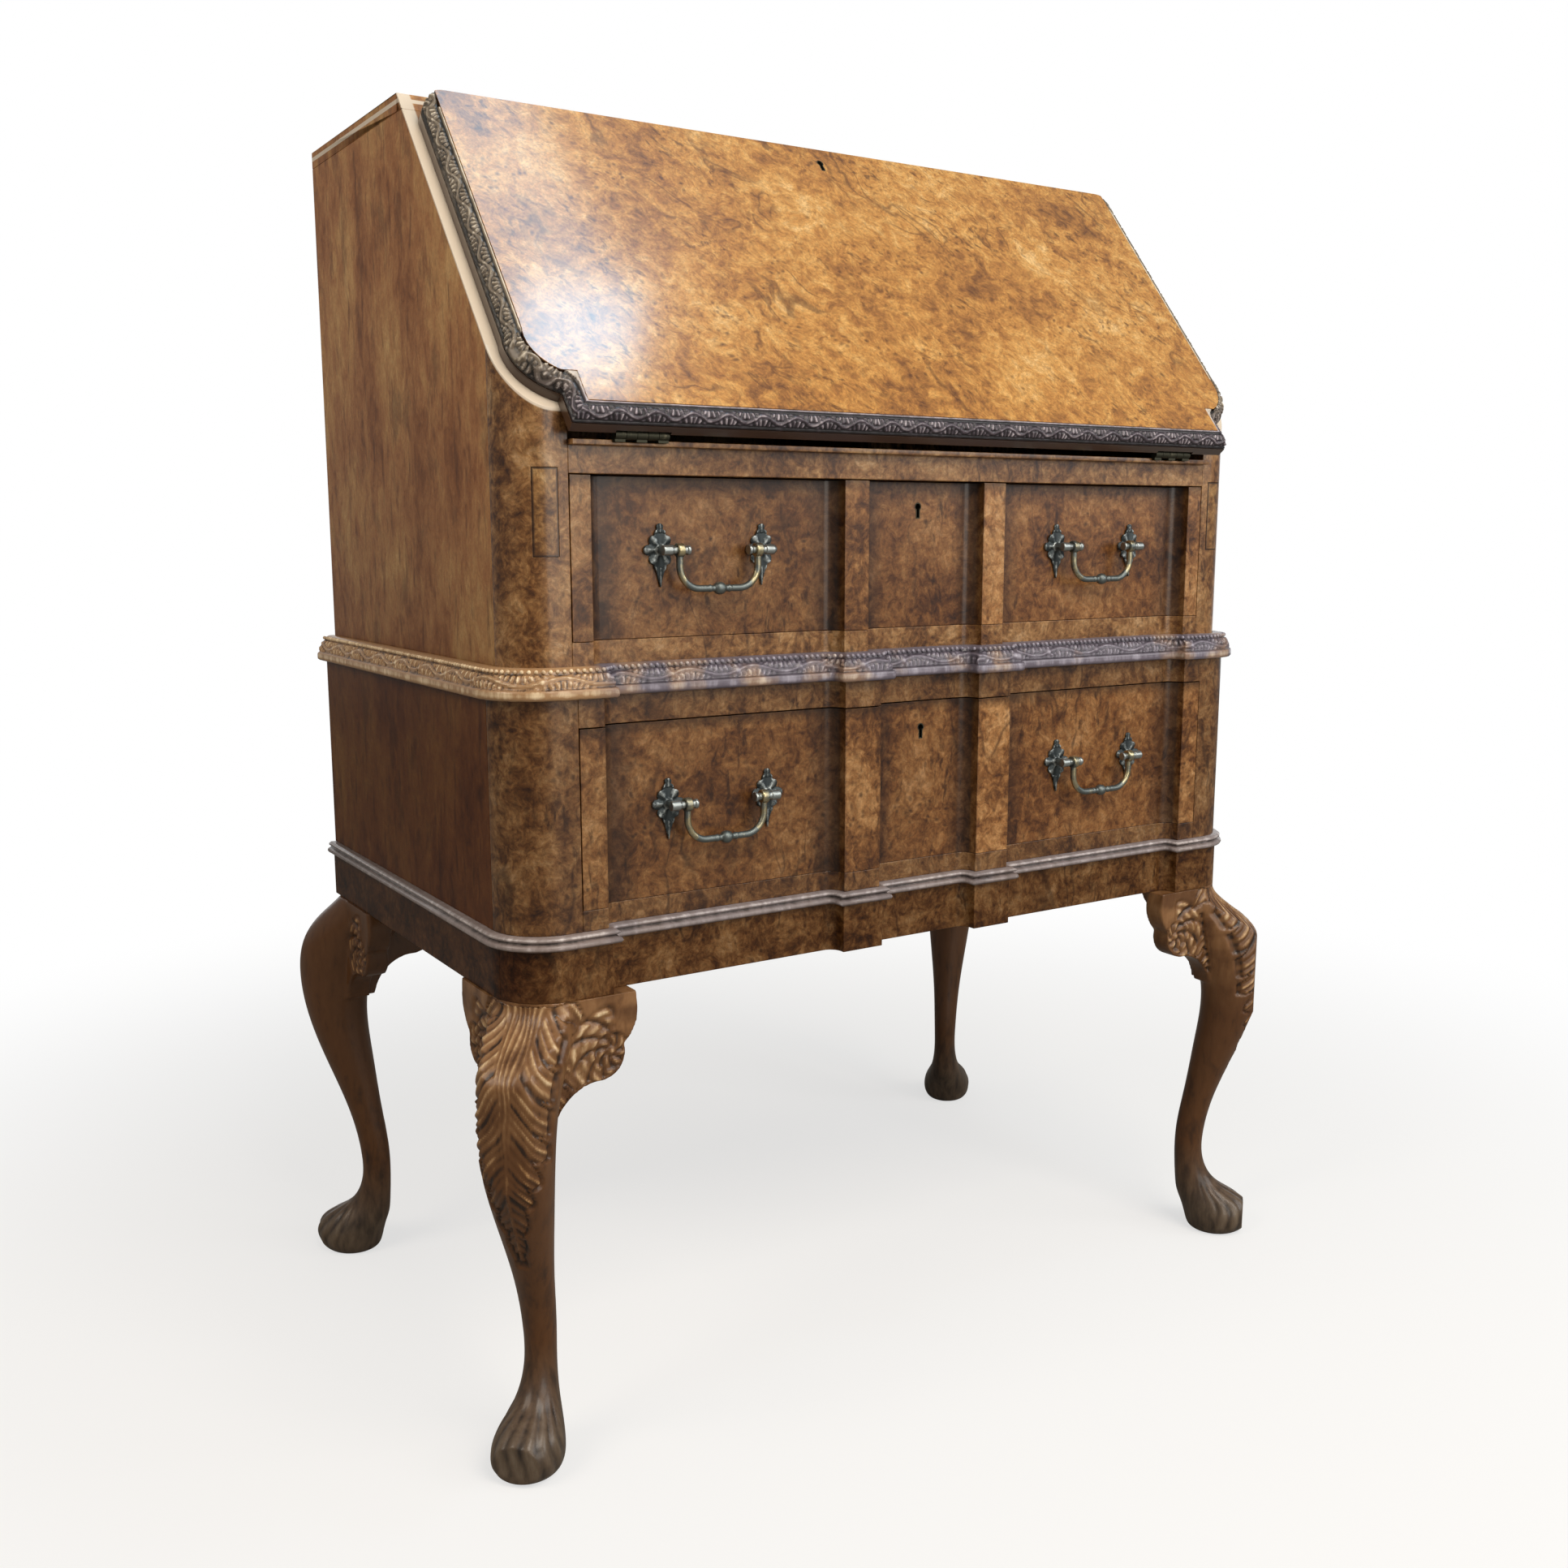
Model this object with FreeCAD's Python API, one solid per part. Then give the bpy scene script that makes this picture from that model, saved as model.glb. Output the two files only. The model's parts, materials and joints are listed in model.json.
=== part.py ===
import FreeCAD, Part
import math
import os

from FreeCAD import Vector

os.makedirs("parts", exist_ok=True)

# Walnut writing bureau on cabriole legs, in millimetres.
# Front faces -Y, +X is the right-hand side seen from the front, +Z is up.
# Everything is first set out from the front plane of the upper case (y = 0),
# the middle of the bureau (x = 0) and the floor (z = 0). When the pieces are
# written they are all carried to the middle of the bureau's footprint.

# Whole bureau
LOWER_WIDTH = 760.0
UPPER_SET_IN = 9.0
BACK_PLANE = 430.0
TOTAL_HEIGHT = 1046.0
LOWER_STEP_OUT = 8.0
OVERRUN = 20.0
FIT_GAP = 0.3

# Heights from the floor
APRON_BOTTOM = 365.0
APRON_HEIGHT = 40.0
BASE_MOULD_HEIGHT = 11.0
LOWER_BOTTOM_RAIL_HEIGHT = 16.0
LOWER_DRAWER_OPENING = 137.0
LOWER_TOP_RAIL_HEIGHT = 22.0
WAIST_HEIGHT = 23.0
UPPER_BOTTOM_RAIL_HEIGHT = 17.0
UPPER_DRAWER_OPENING = 121.0
UPPER_RAIL_HEIGHT = 24.0

APRON_TOP = APRON_BOTTOM + APRON_HEIGHT
LOWER_BOTTOM = APRON_TOP + BASE_MOULD_HEIGHT
LOWER_DRAWER_BOTTOM = LOWER_BOTTOM + LOWER_BOTTOM_RAIL_HEIGHT
LOWER_DRAWER_TOP = LOWER_DRAWER_BOTTOM + LOWER_DRAWER_OPENING
LOWER_TOP = LOWER_DRAWER_TOP + LOWER_TOP_RAIL_HEIGHT
UPPER_FLOOR = LOWER_TOP + WAIST_HEIGHT
UPPER_DRAWER_BOTTOM = UPPER_FLOOR + UPPER_BOTTOM_RAIL_HEIGHT
UPPER_DRAWER_TOP = UPPER_DRAWER_BOTTOM + UPPER_DRAWER_OPENING
BOARD_TOP = UPPER_DRAWER_TOP + UPPER_RAIL_HEIGHT

# Block-front plan shared by both cases, the mouldings and the apron
UPPER_CORNER_RADIUS = 36.0
LOWER_CORNER_RADIUS = 42.0
UPPER_BLOCK_MARGIN = 17.5
LOWER_BLOCK_MARGIN = 21.5
UPPER_PILASTER_OUTER = 84.0
UPPER_PILASTER_INNER = 60.0
LOWER_PILASTER_OUTER = 88.0
LOWER_PILASTER_INNER = 52.0
ARRIS_STEP = 2.0
COVE_RADIUS = 12.0
RECESS_DEPTH = ARRIS_STEP + COVE_RADIUS

# Case joinery
SIDE_THICKNESS = 16.0
BACK_THICKNESS = 10.0
STILE_WIDTH = 45.5
RAIL_DEPTH = 22.0
TOP_THICKNESS = 14.0
WRITING_BOARD_THICKNESS = 18.0
DUST_BOARD_THICKNESS = 9.0

# Mouldings: growth of the plan outline, bottom to top, as shares of the
# moulding's projection, at shares of its height
WAIST_PROJECTION = 9.0
WAIST_PROFILE_SHARES = [(0.0, 0.86), (0.05, 0.98), (0.30, 0.98), (0.34, 0.80),
                        (0.52, 0.78), (0.72, 0.58), (0.86, 0.30), (0.95, -0.10),
                        (1.0, -0.30)]
BASE_MOULD_PROJECTION = 8.0
BASE_PROFILE_SHARES = [(0.0, 0.55), (0.10, 0.88), (0.25, 1.0), (0.42, 0.92),
                       (0.54, 0.62), (0.62, 0.52), (0.72, 0.78), (0.86, 0.80),
                       (1.0, 0.52)]
BASE_FRAME_WIDTH = 74.0
APRON_PROUD = 2.0
APRON_DEPTH = 30.0
APRON_THICKNESS = 20.0

# Cabriole legs, cut from square stuff; sections are given from the foot up as
# shares of the leg's height, and of the block for outer and inner reach along
# the diagonal through the case corner and for the half width across it
LEG_BLOCK = 100.0
LEG_SECTION_SHARES = [(0.0, 0.22, -0.20, 0.20), (0.022, 0.34, -0.27, 0.27),
                      (0.060, 0.37, -0.31, 0.275), (0.095, 0.28, -0.36, 0.23),
                      (0.135, 0.03, -0.39, 0.165), (0.19, -0.11, -0.405, 0.13),
                      (0.28, -0.13, -0.405, 0.13), (0.40, -0.03, -0.34, 0.155),
                      (0.55, 0.19, -0.26, 0.22), (0.70, 0.37, -0.22, 0.28),
                      (0.80, 0.41, -0.32, 0.30), (0.87, 0.36, -0.48, 0.32),
                      (0.94, 0.18, -0.66, 0.33), (1.0, -0.06, -0.80, 0.33)]
LEG_POST = 40.0
LEG_CURVE_POINTS = 12
FRONT_EAR_REACH = 98.0
SIDE_EAR_REACH = 104.0
EAR_DROP = 100.0
EAR_THICKNESS = 22.0
EAR_PROUD = 4.0
# Three arcs of the scrolled outline, each by start, middle and end
EAR_ARC_SHARES = [((0.97, 0.0), (0.99, 0.20), (0.87, 0.40)),
                  ((0.87, 0.40), (0.83, 0.59), (0.64, 0.66)),
                  ((0.64, 0.66), (0.42, 0.74), (0.26, 1.0))]
EAR_ROOT_SHARE = 0.20

# Sloping fall
SLOPE_ANGLE = 38.7
SLOPE_RISE = 21.0
FALL_THICKNESS = 20.0
FALL_SIDE_MARGIN = 9.0
FALL_CORNER_RADIUS = 20.0
TONGUE_OVERLAP = 5.5
TONGUE_STEP = 27.0
FALL_LOWER_CURVE = 50.0
OVOLO = 12.0
OVOLO_FACET = 8.5
PIN_Y = -10.0
LIP_PROJECTION = 8.0
LIP_THICKNESS = 4.0
LIP_GAP = 0.4
LEATHER_THICKNESS = 1.4
LEATHER_BORDER = 52.0
LEATHER_MARGIN_SHARE = 0.1

# Fall hinges
HINGE_FROM_TONGUE_END = 59.0
HINGE_WIDTH = 44.0
HINGE_KNUCKLE_RADIUS = 3.4
HINGE_PIN_RADIUS = 1.3
HINGE_PIN_CLEARANCE = 0.05
HINGE_KNUCKLES = 5
HINGE_KNUCKLE_GAP = 0.4
HINGE_LEAF_THICKNESS = 1.6
HINGE_LEAF_LENGTH = 26.0
HINGE_NOTCH_RADIUS = 6.2

# Lopers, the pull-out supports of the open fall
LOPER_PARTITION_GAP = 1.5
LOPER_THICKNESS = 18.0
LOPER_HEIGHT = 62.5
LOPER_BACK_GAP = 90.0
PARTITION_THICKNESS = 7.0
LOPER_BEARER_THICKNESS = 8.0

# Drawers
DRAWER_SIDE_GAP = 0.8
DRAWER_FRONT_THICKNESS = 24.0
DRAWER_SIDE_THICKNESS = 10.0
DRAWER_BACK_THICKNESS = 10.0
DRAWER_BOTTOM_THICKNESS = 6.0
DRAWER_BOTTOM_RAISE = 4.0
DRAWER_BACK_GAP = 28.0
DRAWER_SIDE_DROP = 12.0
RUNNER_WIDTH = 72.0
GUIDE_HEIGHT = 44.0

# Locks
LOCK_HALF_WIDTH = 28.0
LOCK_DEPTH = 12.0
LOCK_HEIGHT = 34.0
BOLT_HALF_WIDTH = 7.0
BOLT_DEPTH = 5.0
BOLT_HEIGHT = 16.0
FALL_BOLT_TRAVEL = 10.0
BOLT_CLEARANCE = 0.3
KEYHOLE_RADIUS = 2.6
KEYHOLE_SLOT_HALF = 1.3
KEYHOLE_DROP = 9.0
KEYHOLE_LINER = 0.8
UPPER_KEYHOLE_BELOW_TOP = 21.0
LOWER_KEYHOLE_BELOW_TOP = 23.0
FALL_KEYHOLE_FROM_TOP = 18.0
FALL_LOCK_BELOW_TOP = 3.5

# Bail handles
HANDLE_CENTRE_SHARE = 0.616
HANDLE_PLATE_SPREAD = 45.0
UPPER_HANDLE_SHARE = 0.5455
LOWER_HANDLE_SHARE = 0.5255
PLATE_THICKNESS = 2.5
PLATE_RADIUS = 8.2
PLATE_LOBES = 6
PLATE_LOBE_RADIUS = 3.8
FINIAL_RISE = 12.0
FINIAL_RADIUS = 4.0
FINIAL_TIP_RISE = 17.4
FINIAL_TIP_RADIUS = 2.4
DROP_FALL = 12.0
DROP_RADIUS = 4.4
DROP_NECK_HALF = 3.7
DROP_TIP_FALL = 28.0
POST_PROJECTION = 13.0
POST_RADIUS = 3.2
BARREL_RADIUS = 2.8
BARREL_OUTER_END = 4.0
BARREL_LENGTH = 23.0
BARREL_CAP_RADIUS = 3.7
BARREL_CAP_LENGTH = 2.4
KNUCKLE_LENGTH = 7.6
BAIL_RADIUS = 2.2
BAIL_HALF_SPREAD = 34.5
BAIL_DROP = 29.0
BAIL_BEND = 17.0
BAIL_EYE_RADIUS = 4.9
BAIL_EYE_WIDTH = 5.0
BAIL_EYE_CLEARANCE = 0.08
BAIL_KNOT_RADIUS = 3.9
BAIL_TIP_LENGTH = 6.5
BAIL_TIP_ROOT_RADIUS = 1.8
BAIL_TIP_RADIUS = 1.1

# Fitted interior
PIGEONHOLE_BOARD = 6.0
PIGEONHOLE_DEPTH = 175.0
PIGEONHOLE_HEIGHT_SHARE = 0.695
PIGEONHOLE_COUNT = 6
SMALL_DRAWER_HEIGHT_SHARE = 0.281
SMALL_DRAWER_WALL = 6.0
SMALL_DRAWER_GAP = 0.5
SMALL_DRAWER_BACK_GAP = 15.0
SMALL_KNOB_RADIUS = 5.0
SMALL_KNOB_PROJECTION = 11.0

# Values that follow from the driving sizes
X_AXIS = Vector(1, 0, 0)
Y_AXIS = Vector(0, 1, 0)
Z_AXIS = Vector(0, 0, 1)
ORIGIN = Vector(0, 0, 0)
QUARTER_TURN = 90.0
HALF_LOWER = LOWER_WIDTH / 2
HALF_UPPER = HALF_LOWER - UPPER_SET_IN
DRAWER_HALF_OPENING = HALF_UPPER - STILE_WIDTH
UPPER_BLOCK_EDGE = DRAWER_HALF_OPENING - UPPER_BLOCK_MARGIN
LOWER_BLOCK_EDGE = DRAWER_HALF_OPENING - LOWER_BLOCK_MARGIN
UPPER_INSIDE = HALF_UPPER - SIDE_THICKNESS
LOWER_INSIDE = HALF_LOWER - SIDE_THICKNESS
LOWER_FACE = -LOWER_STEP_OUT
SIDES_TOP = TOTAL_HEIGHT - TOP_THICKNESS
BACK_INNER = BACK_PLANE - BACK_THICKNESS
DRAWER_LENGTH = BACK_INNER - DRAWER_BACK_GAP
UPPER_KEYHOLE_HEIGHT = UPPER_DRAWER_TOP - UPPER_KEYHOLE_BELOW_TOP
LOWER_KEYHOLE_HEIGHT = LOWER_DRAWER_TOP - LOWER_KEYHOLE_BELOW_TOP
UPPER_HANDLE_HEIGHT = UPPER_DRAWER_BOTTOM + UPPER_DRAWER_OPENING * UPPER_HANDLE_SHARE
LOWER_HANDLE_HEIGHT = LOWER_DRAWER_BOTTOM + LOWER_DRAWER_OPENING * LOWER_HANDLE_SHARE
HANDLE_CENTRE = DRAWER_HALF_OPENING * HANDLE_CENTRE_SHARE
SLOPE_START = BOARD_TOP + SLOPE_RISE
SLOPE_SIN = math.sin(math.radians(SLOPE_ANGLE))
SLOPE_COS = math.cos(math.radians(SLOPE_ANGLE))
CASE_SLOPE = SLOPE_SIN * SLOPE_START
FALL_INNER_PLANE = CASE_SLOPE + FIT_GAP
PIN_Z = (FALL_INNER_PLANE + SLOPE_COS * PIN_Y + BOARD_TOP) / (1 + SLOPE_SIN)
FALL_INNER = PIN_Z - BOARD_TOP
FALL_OUTER = FALL_INNER + FALL_THICKNESS
FALL_EDGE = PIN_Y + LIP_PROJECTION + LIP_GAP
FALL_TOP = (TOTAL_HEIGHT - PIN_Z - FALL_OUTER * SLOPE_SIN) / SLOPE_COS
FALL_TOP_INNER = (TOTAL_HEIGHT - PIN_Z - FALL_INNER * SLOPE_SIN) / SLOPE_COS
FALL_HALF_WIDTH = HALF_UPPER - FALL_SIDE_MARGIN
TONGUE_HALF_WIDTH = DRAWER_HALF_OPENING + TONGUE_OVERLAP
HINGE_CENTRE = TONGUE_HALF_WIDTH - HINGE_FROM_TONGUE_END
LOPER_INNER = DRAWER_HALF_OPENING + PARTITION_THICKNESS + LOPER_PARTITION_GAP
LOPER_LENGTH = BACK_INNER - LOPER_BACK_GAP
LOPER_TOP = BOARD_TOP - FALL_THICKNESS - FIT_GAP
LOPER_BOTTOM = LOPER_TOP - LOPER_HEIGHT
LOPER_OUTER = LOPER_INNER + LOPER_THICKNESS
DRAWER_HALF = DRAWER_HALF_OPENING - DRAWER_SIDE_GAP
PIGEONHOLE_FRONT = BACK_INNER - PIGEONHOLE_DEPTH
PIGEONHOLE_HEIGHT = (SIDES_TOP - BOARD_TOP) * PIGEONHOLE_HEIGHT_SHARE
PIGEONHOLE_PITCH = UPPER_INSIDE * 2 / PIGEONHOLE_COUNT
SMALL_DRAWER_HEIGHT = PIGEONHOLE_HEIGHT * SMALL_DRAWER_HEIGHT_SHARE
SMALL_DRAWER_LENGTH = PIGEONHOLE_DEPTH - SMALL_DRAWER_BACK_GAP

UPPER_PLAN = dict(half=HALF_UPPER, face=0.0, radius=UPPER_CORNER_RADIUS,
                  block=UPPER_BLOCK_EDGE, outer=UPPER_PILASTER_OUTER,
                  inner=UPPER_PILASTER_INNER)
LOWER_PLAN = dict(half=HALF_LOWER, face=LOWER_FACE, radius=LOWER_CORNER_RADIUS,
                  block=LOWER_BLOCK_EDGE, outer=LOWER_PILASTER_OUTER,
                  inner=LOWER_PILASTER_INNER)

SHAPES = {}


def box(x0, x1, y0, y1, z0, z1):
    """A box between two corners."""
    return Part.makeBox(x1 - x0, y1 - y0, z1 - z0, Vector(x0, y0, z0))


def rod(start, axis, radius, length):
    """A round bar from start along axis."""
    return Part.makeCylinder(radius, length, start, axis)


def mirrored(shape):
    """The other hand of a shape, through the middle of the bureau."""
    return shape.mirror(ORIGIN, X_AXIS)


def pair(shape):
    """A shape with its mirror image, as two separate solids."""
    return Part.makeCompound([shape, mirrored(shape)])


def group(shapes):
    """Several separate solids in one node."""
    return Part.makeCompound(list(shapes))


def save(name, shape):
    """Keep a finished piece under its node name."""
    SHAPES[name] = shape


def in_fall_plane(shape):
    """Carry a shape from fall coordinates (across, up the slope, outwards) into place."""
    turned = shape.copy()
    turned.rotate(ORIGIN, X_AXIS, QUARTER_TURN - SLOPE_ANGLE)
    turned.translate(Vector(0, PIN_Y, PIN_Z))
    return turned


def arc(start, middle, end):
    """A circular edge through three points."""
    return Part.Arc(start, middle, end).toShape()


def line(start, end):
    return Part.LineSegment(start, end).toShape()


def plan_half(plan, grow, z):
    """Edges of the right half of a block-front plan, from the middle to the back."""
    face = plan["face"] - grow
    cove_line = plan["face"] + ARRIS_STEP
    cove = COVE_RADIUS - grow
    recess = cove_line + cove
    diagonal = cove * math.sqrt(0.5)
    edges = []

    def cove_edge(centre_x, towards):
        """Quarter cove from the recess to the block on the side given by towards."""
        deep = Vector(centre_x, recess, z)
        side = Vector(centre_x + towards * cove, cove_line, z)
        middle = Vector(centre_x + towards * diagonal, cove_line + diagonal, z)
        return (deep, middle, side)

    start = Vector(0, recess, z)
    deep, middle, side = cove_edge(plan["inner"] - COVE_RADIUS, 1)
    edges.append(line(start, deep))
    edges.append(arc(deep, middle, side))
    corner = Vector(side.x, face, z)
    edges.append(line(side, corner))
    deep, middle, side = cove_edge(plan["outer"] + COVE_RADIUS, -1)
    far = Vector(side.x, face, z)
    edges.append(line(corner, far))
    edges.append(line(far, side))
    edges.append(arc(side, middle, deep))
    start = deep
    deep, middle, side = cove_edge(plan["block"] - COVE_RADIUS, 1)
    edges.append(line(start, deep))
    edges.append(arc(deep, middle, side))
    corner = Vector(side.x, face, z)
    edges.append(line(side, corner))
    radius = plan["radius"]
    centre = Vector(plan["half"] - radius, plan["face"] + radius, z)
    reach = radius + grow
    front_end = Vector(centre.x, centre.y - reach, z)
    side_end = Vector(centre.x + reach, centre.y, z)
    bend = reach * math.sqrt(0.5)
    edges.append(line(corner, front_end))
    edges.append(arc(front_end, Vector(centre.x + bend, centre.y - bend, z), side_end))
    back = Vector(side_end.x, BACK_PLANE, z)
    edges.append(line(side_end, back))
    return edges, back


def plan_wire(plan, grow, z):
    """Closed block-front outline, grown on the front and the sides only."""
    right, back = plan_half(plan, grow, z)
    left = [mirrored(edge) for edge in right]
    closing = line(back, Vector(-back.x, back.y, z))
    return Part.Wire(Part.__sortEdges__(right + [closing] + left))


def plan_prism(plan, grow, z0, z1):
    """Upright solid on a block-front outline."""
    face = Part.Face(plan_wire(plan, grow, z0))
    return face.extrude(Vector(0, 0, z1 - z0))


def moulding(plan, projection, shares, z0, height):
    """Moulded band round the plan, its profile given as shares from the bottom up."""
    wires = [plan_wire(plan, projection * out, z0 + height * up) for up, out in shares]
    return Part.makeLoft(wires, True, True)


def straight_plan_prism(plan, z0, z1):
    """Upright solid on the plan without its recesses."""
    radius = plan["radius"]
    body = box(-plan["half"], plan["half"], plan["face"], BACK_PLANE, z0, z1)
    corner = box(plan["half"] - radius, plan["half"] + OVERRUN, plan["face"] - OVERRUN,
                 plan["face"] + radius, z0 - OVERRUN, z1 + OVERRUN)
    centre = Vector(plan["half"] - radius, plan["face"] + radius, z0 - OVERRUN)
    corner = corner.cut(rod(centre, Z_AXIS, radius, z1 - z0 + OVERRUN * 2))
    return body.cut(corner).cut(mirrored(corner))


def above_slope():
    """Everything outside the sloping front of the case."""
    depth = FALL_INNER - FIT_GAP
    block = box(-LOWER_WIDTH, LOWER_WIDTH, -TOTAL_HEIGHT, TOTAL_HEIGHT, depth, TOTAL_HEIGHT)
    return in_fall_plane(block)


# Stand


def leg_solid(back):
    """Cabriole leg of the right-hand side, with its post inside the apron."""
    corner_y = BACK_PLANE if back else LOWER_FACE
    away = 1 if back else -1
    diagonal = Vector(1, away, 0).normalize()
    wires = []
    for up, outer, inner, half in LEG_SECTION_SHARES:
        reach = (outer + inner) / 2 * LEG_BLOCK
        length = (outer - inner) / 2 * LEG_BLOCK
        width = half * LEG_BLOCK
        centre = Vector(HALF_LOWER, corner_y, up * APRON_BOTTOM) + diagonal * reach
        wires.append(section_wire(centre, diagonal, length, width))
    shaft = Part.makeLoft(wires, True, False)
    if back:
        post_y = BACK_PLANE - APRON_THICKNESS - LEG_POST
    else:
        post_y = LOWER_FACE + APRON_DEPTH
    outer_x = HALF_LOWER - APRON_THICKNESS
    post = box(outer_x - LEG_POST, outer_x, post_y, post_y + LEG_POST,
               APRON_BOTTOM - FIT_GAP, APRON_TOP)
    return shaft.fuse(post).removeSplitter()


def section_wire(centre, diagonal, length, width):
    """Oval leg section as one closed curve, starting on the outer side."""
    across = Z_AXIS.cross(diagonal)
    points = []
    for step in range(LEG_CURVE_POINTS):
        turn = 2 * math.pi * step / LEG_CURVE_POINTS
        points.append(centre + diagonal * (length * math.cos(turn))
                      + across * (width * math.sin(turn)))
    curve = Part.BSplineCurve()
    curve.interpolate(Points=points, PeriodicFlag=True)
    return Part.Wire([curve.toShape()])


def ear_face(reach):
    """Outline of a knee bracket, its corner at the top right and its scroll to the left."""
    edges = []
    for points in EAR_ARC_SHARES:
        edges.append(arc(*[Vector(-along * reach, 0, -down * EAR_DROP)
                           for along, down in points]))
    scroll_start = Vector(-EAR_ARC_SHARES[0][0][0] * reach, 0, 0)
    scroll_end = Vector(-EAR_ARC_SHARES[-1][2][0] * reach, 0, -EAR_DROP)
    root_x = -EAR_ROOT_SHARE * reach
    foot = Vector(root_x, 0, -EAR_DROP)
    head = Vector(root_x, 0, 0)
    edges += [line(scroll_end, foot), line(foot, head), line(head, scroll_start)]
    return Part.Face(Part.Wire(Part.__sortEdges__(edges)))


def ear_solids(leg, back):
    """The two scrolled knee brackets of a right-hand leg."""
    front_ear = ear_face(FRONT_EAR_REACH).extrude(Vector(0, EAR_THICKNESS, 0))
    side_ear = ear_face(SIDE_EAR_REACH).extrude(Vector(0, EAR_THICKNESS, 0))
    front_ear.translate(Vector(HALF_LOWER, 0, APRON_BOTTOM))
    side_ear.rotate(ORIGIN, Z_AXIS, QUARTER_TURN if back else -QUARTER_TURN)
    if back:
        front_ear.translate(Vector(0, BACK_PLANE - EAR_THICKNESS, 0))
    else:
        front_ear.translate(Vector(0, LOWER_FACE - EAR_PROUD, 0))
    if back:
        corner = Vector(HALF_LOWER + EAR_PROUD, BACK_PLANE, APRON_BOTTOM)
    else:
        corner = Vector(HALF_LOWER + EAR_PROUD - EAR_THICKNESS, LOWER_FACE, APRON_BOTTOM)
    side_ear.translate(corner)
    front_ear = front_ear.cut(leg)
    side_ear = side_ear.cut(leg)
    ears = [max(front_ear.Solids, key=lambda solid: solid.Volume)]
    ears.append(max(side_ear.Solids, key=lambda solid: solid.Volume))
    return ears


def make_stand():
    """Legs, knee brackets, aprons and the moulded frame that carries the cases."""
    ears = []
    for back, place in ((False, "front"), (True, "back")):
        leg = leg_solid(back)
        save("leg_" + place + "_right", leg)
        save("leg_" + place + "_left", mirrored(leg))
        for ear in ear_solids(leg, back):
            ears += [ear, mirrored(ear)]
    save("knee_brackets", group(ears))
    band = plan_prism(LOWER_PLAN, APRON_PROUD, APRON_BOTTOM, APRON_TOP)
    front_line = LOWER_FACE + APRON_DEPTH
    front_part = box(-LOWER_WIDTH, LOWER_WIDTH, -LOWER_WIDTH, front_line, 0, TOTAL_HEIGHT)
    save("apron_front", band.common(front_part))
    inner_x = HALF_LOWER - APRON_THICKNESS
    side_part = box(inner_x, LOWER_WIDTH, front_line, BACK_PLANE, 0, TOTAL_HEIGHT)
    apron_side = band.common(side_part)
    save("apron_right", apron_side)
    save("apron_left", mirrored(apron_side))
    save("apron_back", box(-inner_x, inner_x, BACK_PLANE - APRON_THICKNESS, BACK_PLANE,
                           APRON_BOTTOM, APRON_TOP))
    frame = moulding(LOWER_PLAN, BASE_MOULD_PROJECTION, BASE_PROFILE_SHARES,
                     APRON_TOP, BASE_MOULD_HEIGHT)
    hole = box(-HALF_LOWER + BASE_FRAME_WIDTH, HALF_LOWER - BASE_FRAME_WIDTH,
               LOWER_FACE + BASE_FRAME_WIDTH, BACK_PLANE - BASE_FRAME_WIDTH,
               0, TOTAL_HEIGHT)
    save("base_moulding", split_band(frame.cut(hole), LOWER_FACE + BASE_FRAME_WIDTH))


def split_band(band, cut_line):
    """A moulded band as its front length and two side lengths."""
    front_part = box(-LOWER_WIDTH, LOWER_WIDTH, -LOWER_WIDTH, cut_line, 0, TOTAL_HEIGHT)
    right_part = box(0, LOWER_WIDTH, cut_line, BACK_PLANE, 0, TOTAL_HEIGHT)
    right = band.common(right_part)
    return group([band.common(front_part), right, mirrored(right)])


# Lower case


def corner_post(plan, z0, z1):
    """Rounded corner stile on the right of a drawer opening."""
    keep = box(DRAWER_HALF_OPENING, LOWER_WIDTH, -LOWER_WIDTH,
               plan["face"] + plan["radius"], z0, z1)
    return plan_prism(plan, 0.0, z0, z1).common(keep)


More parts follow.
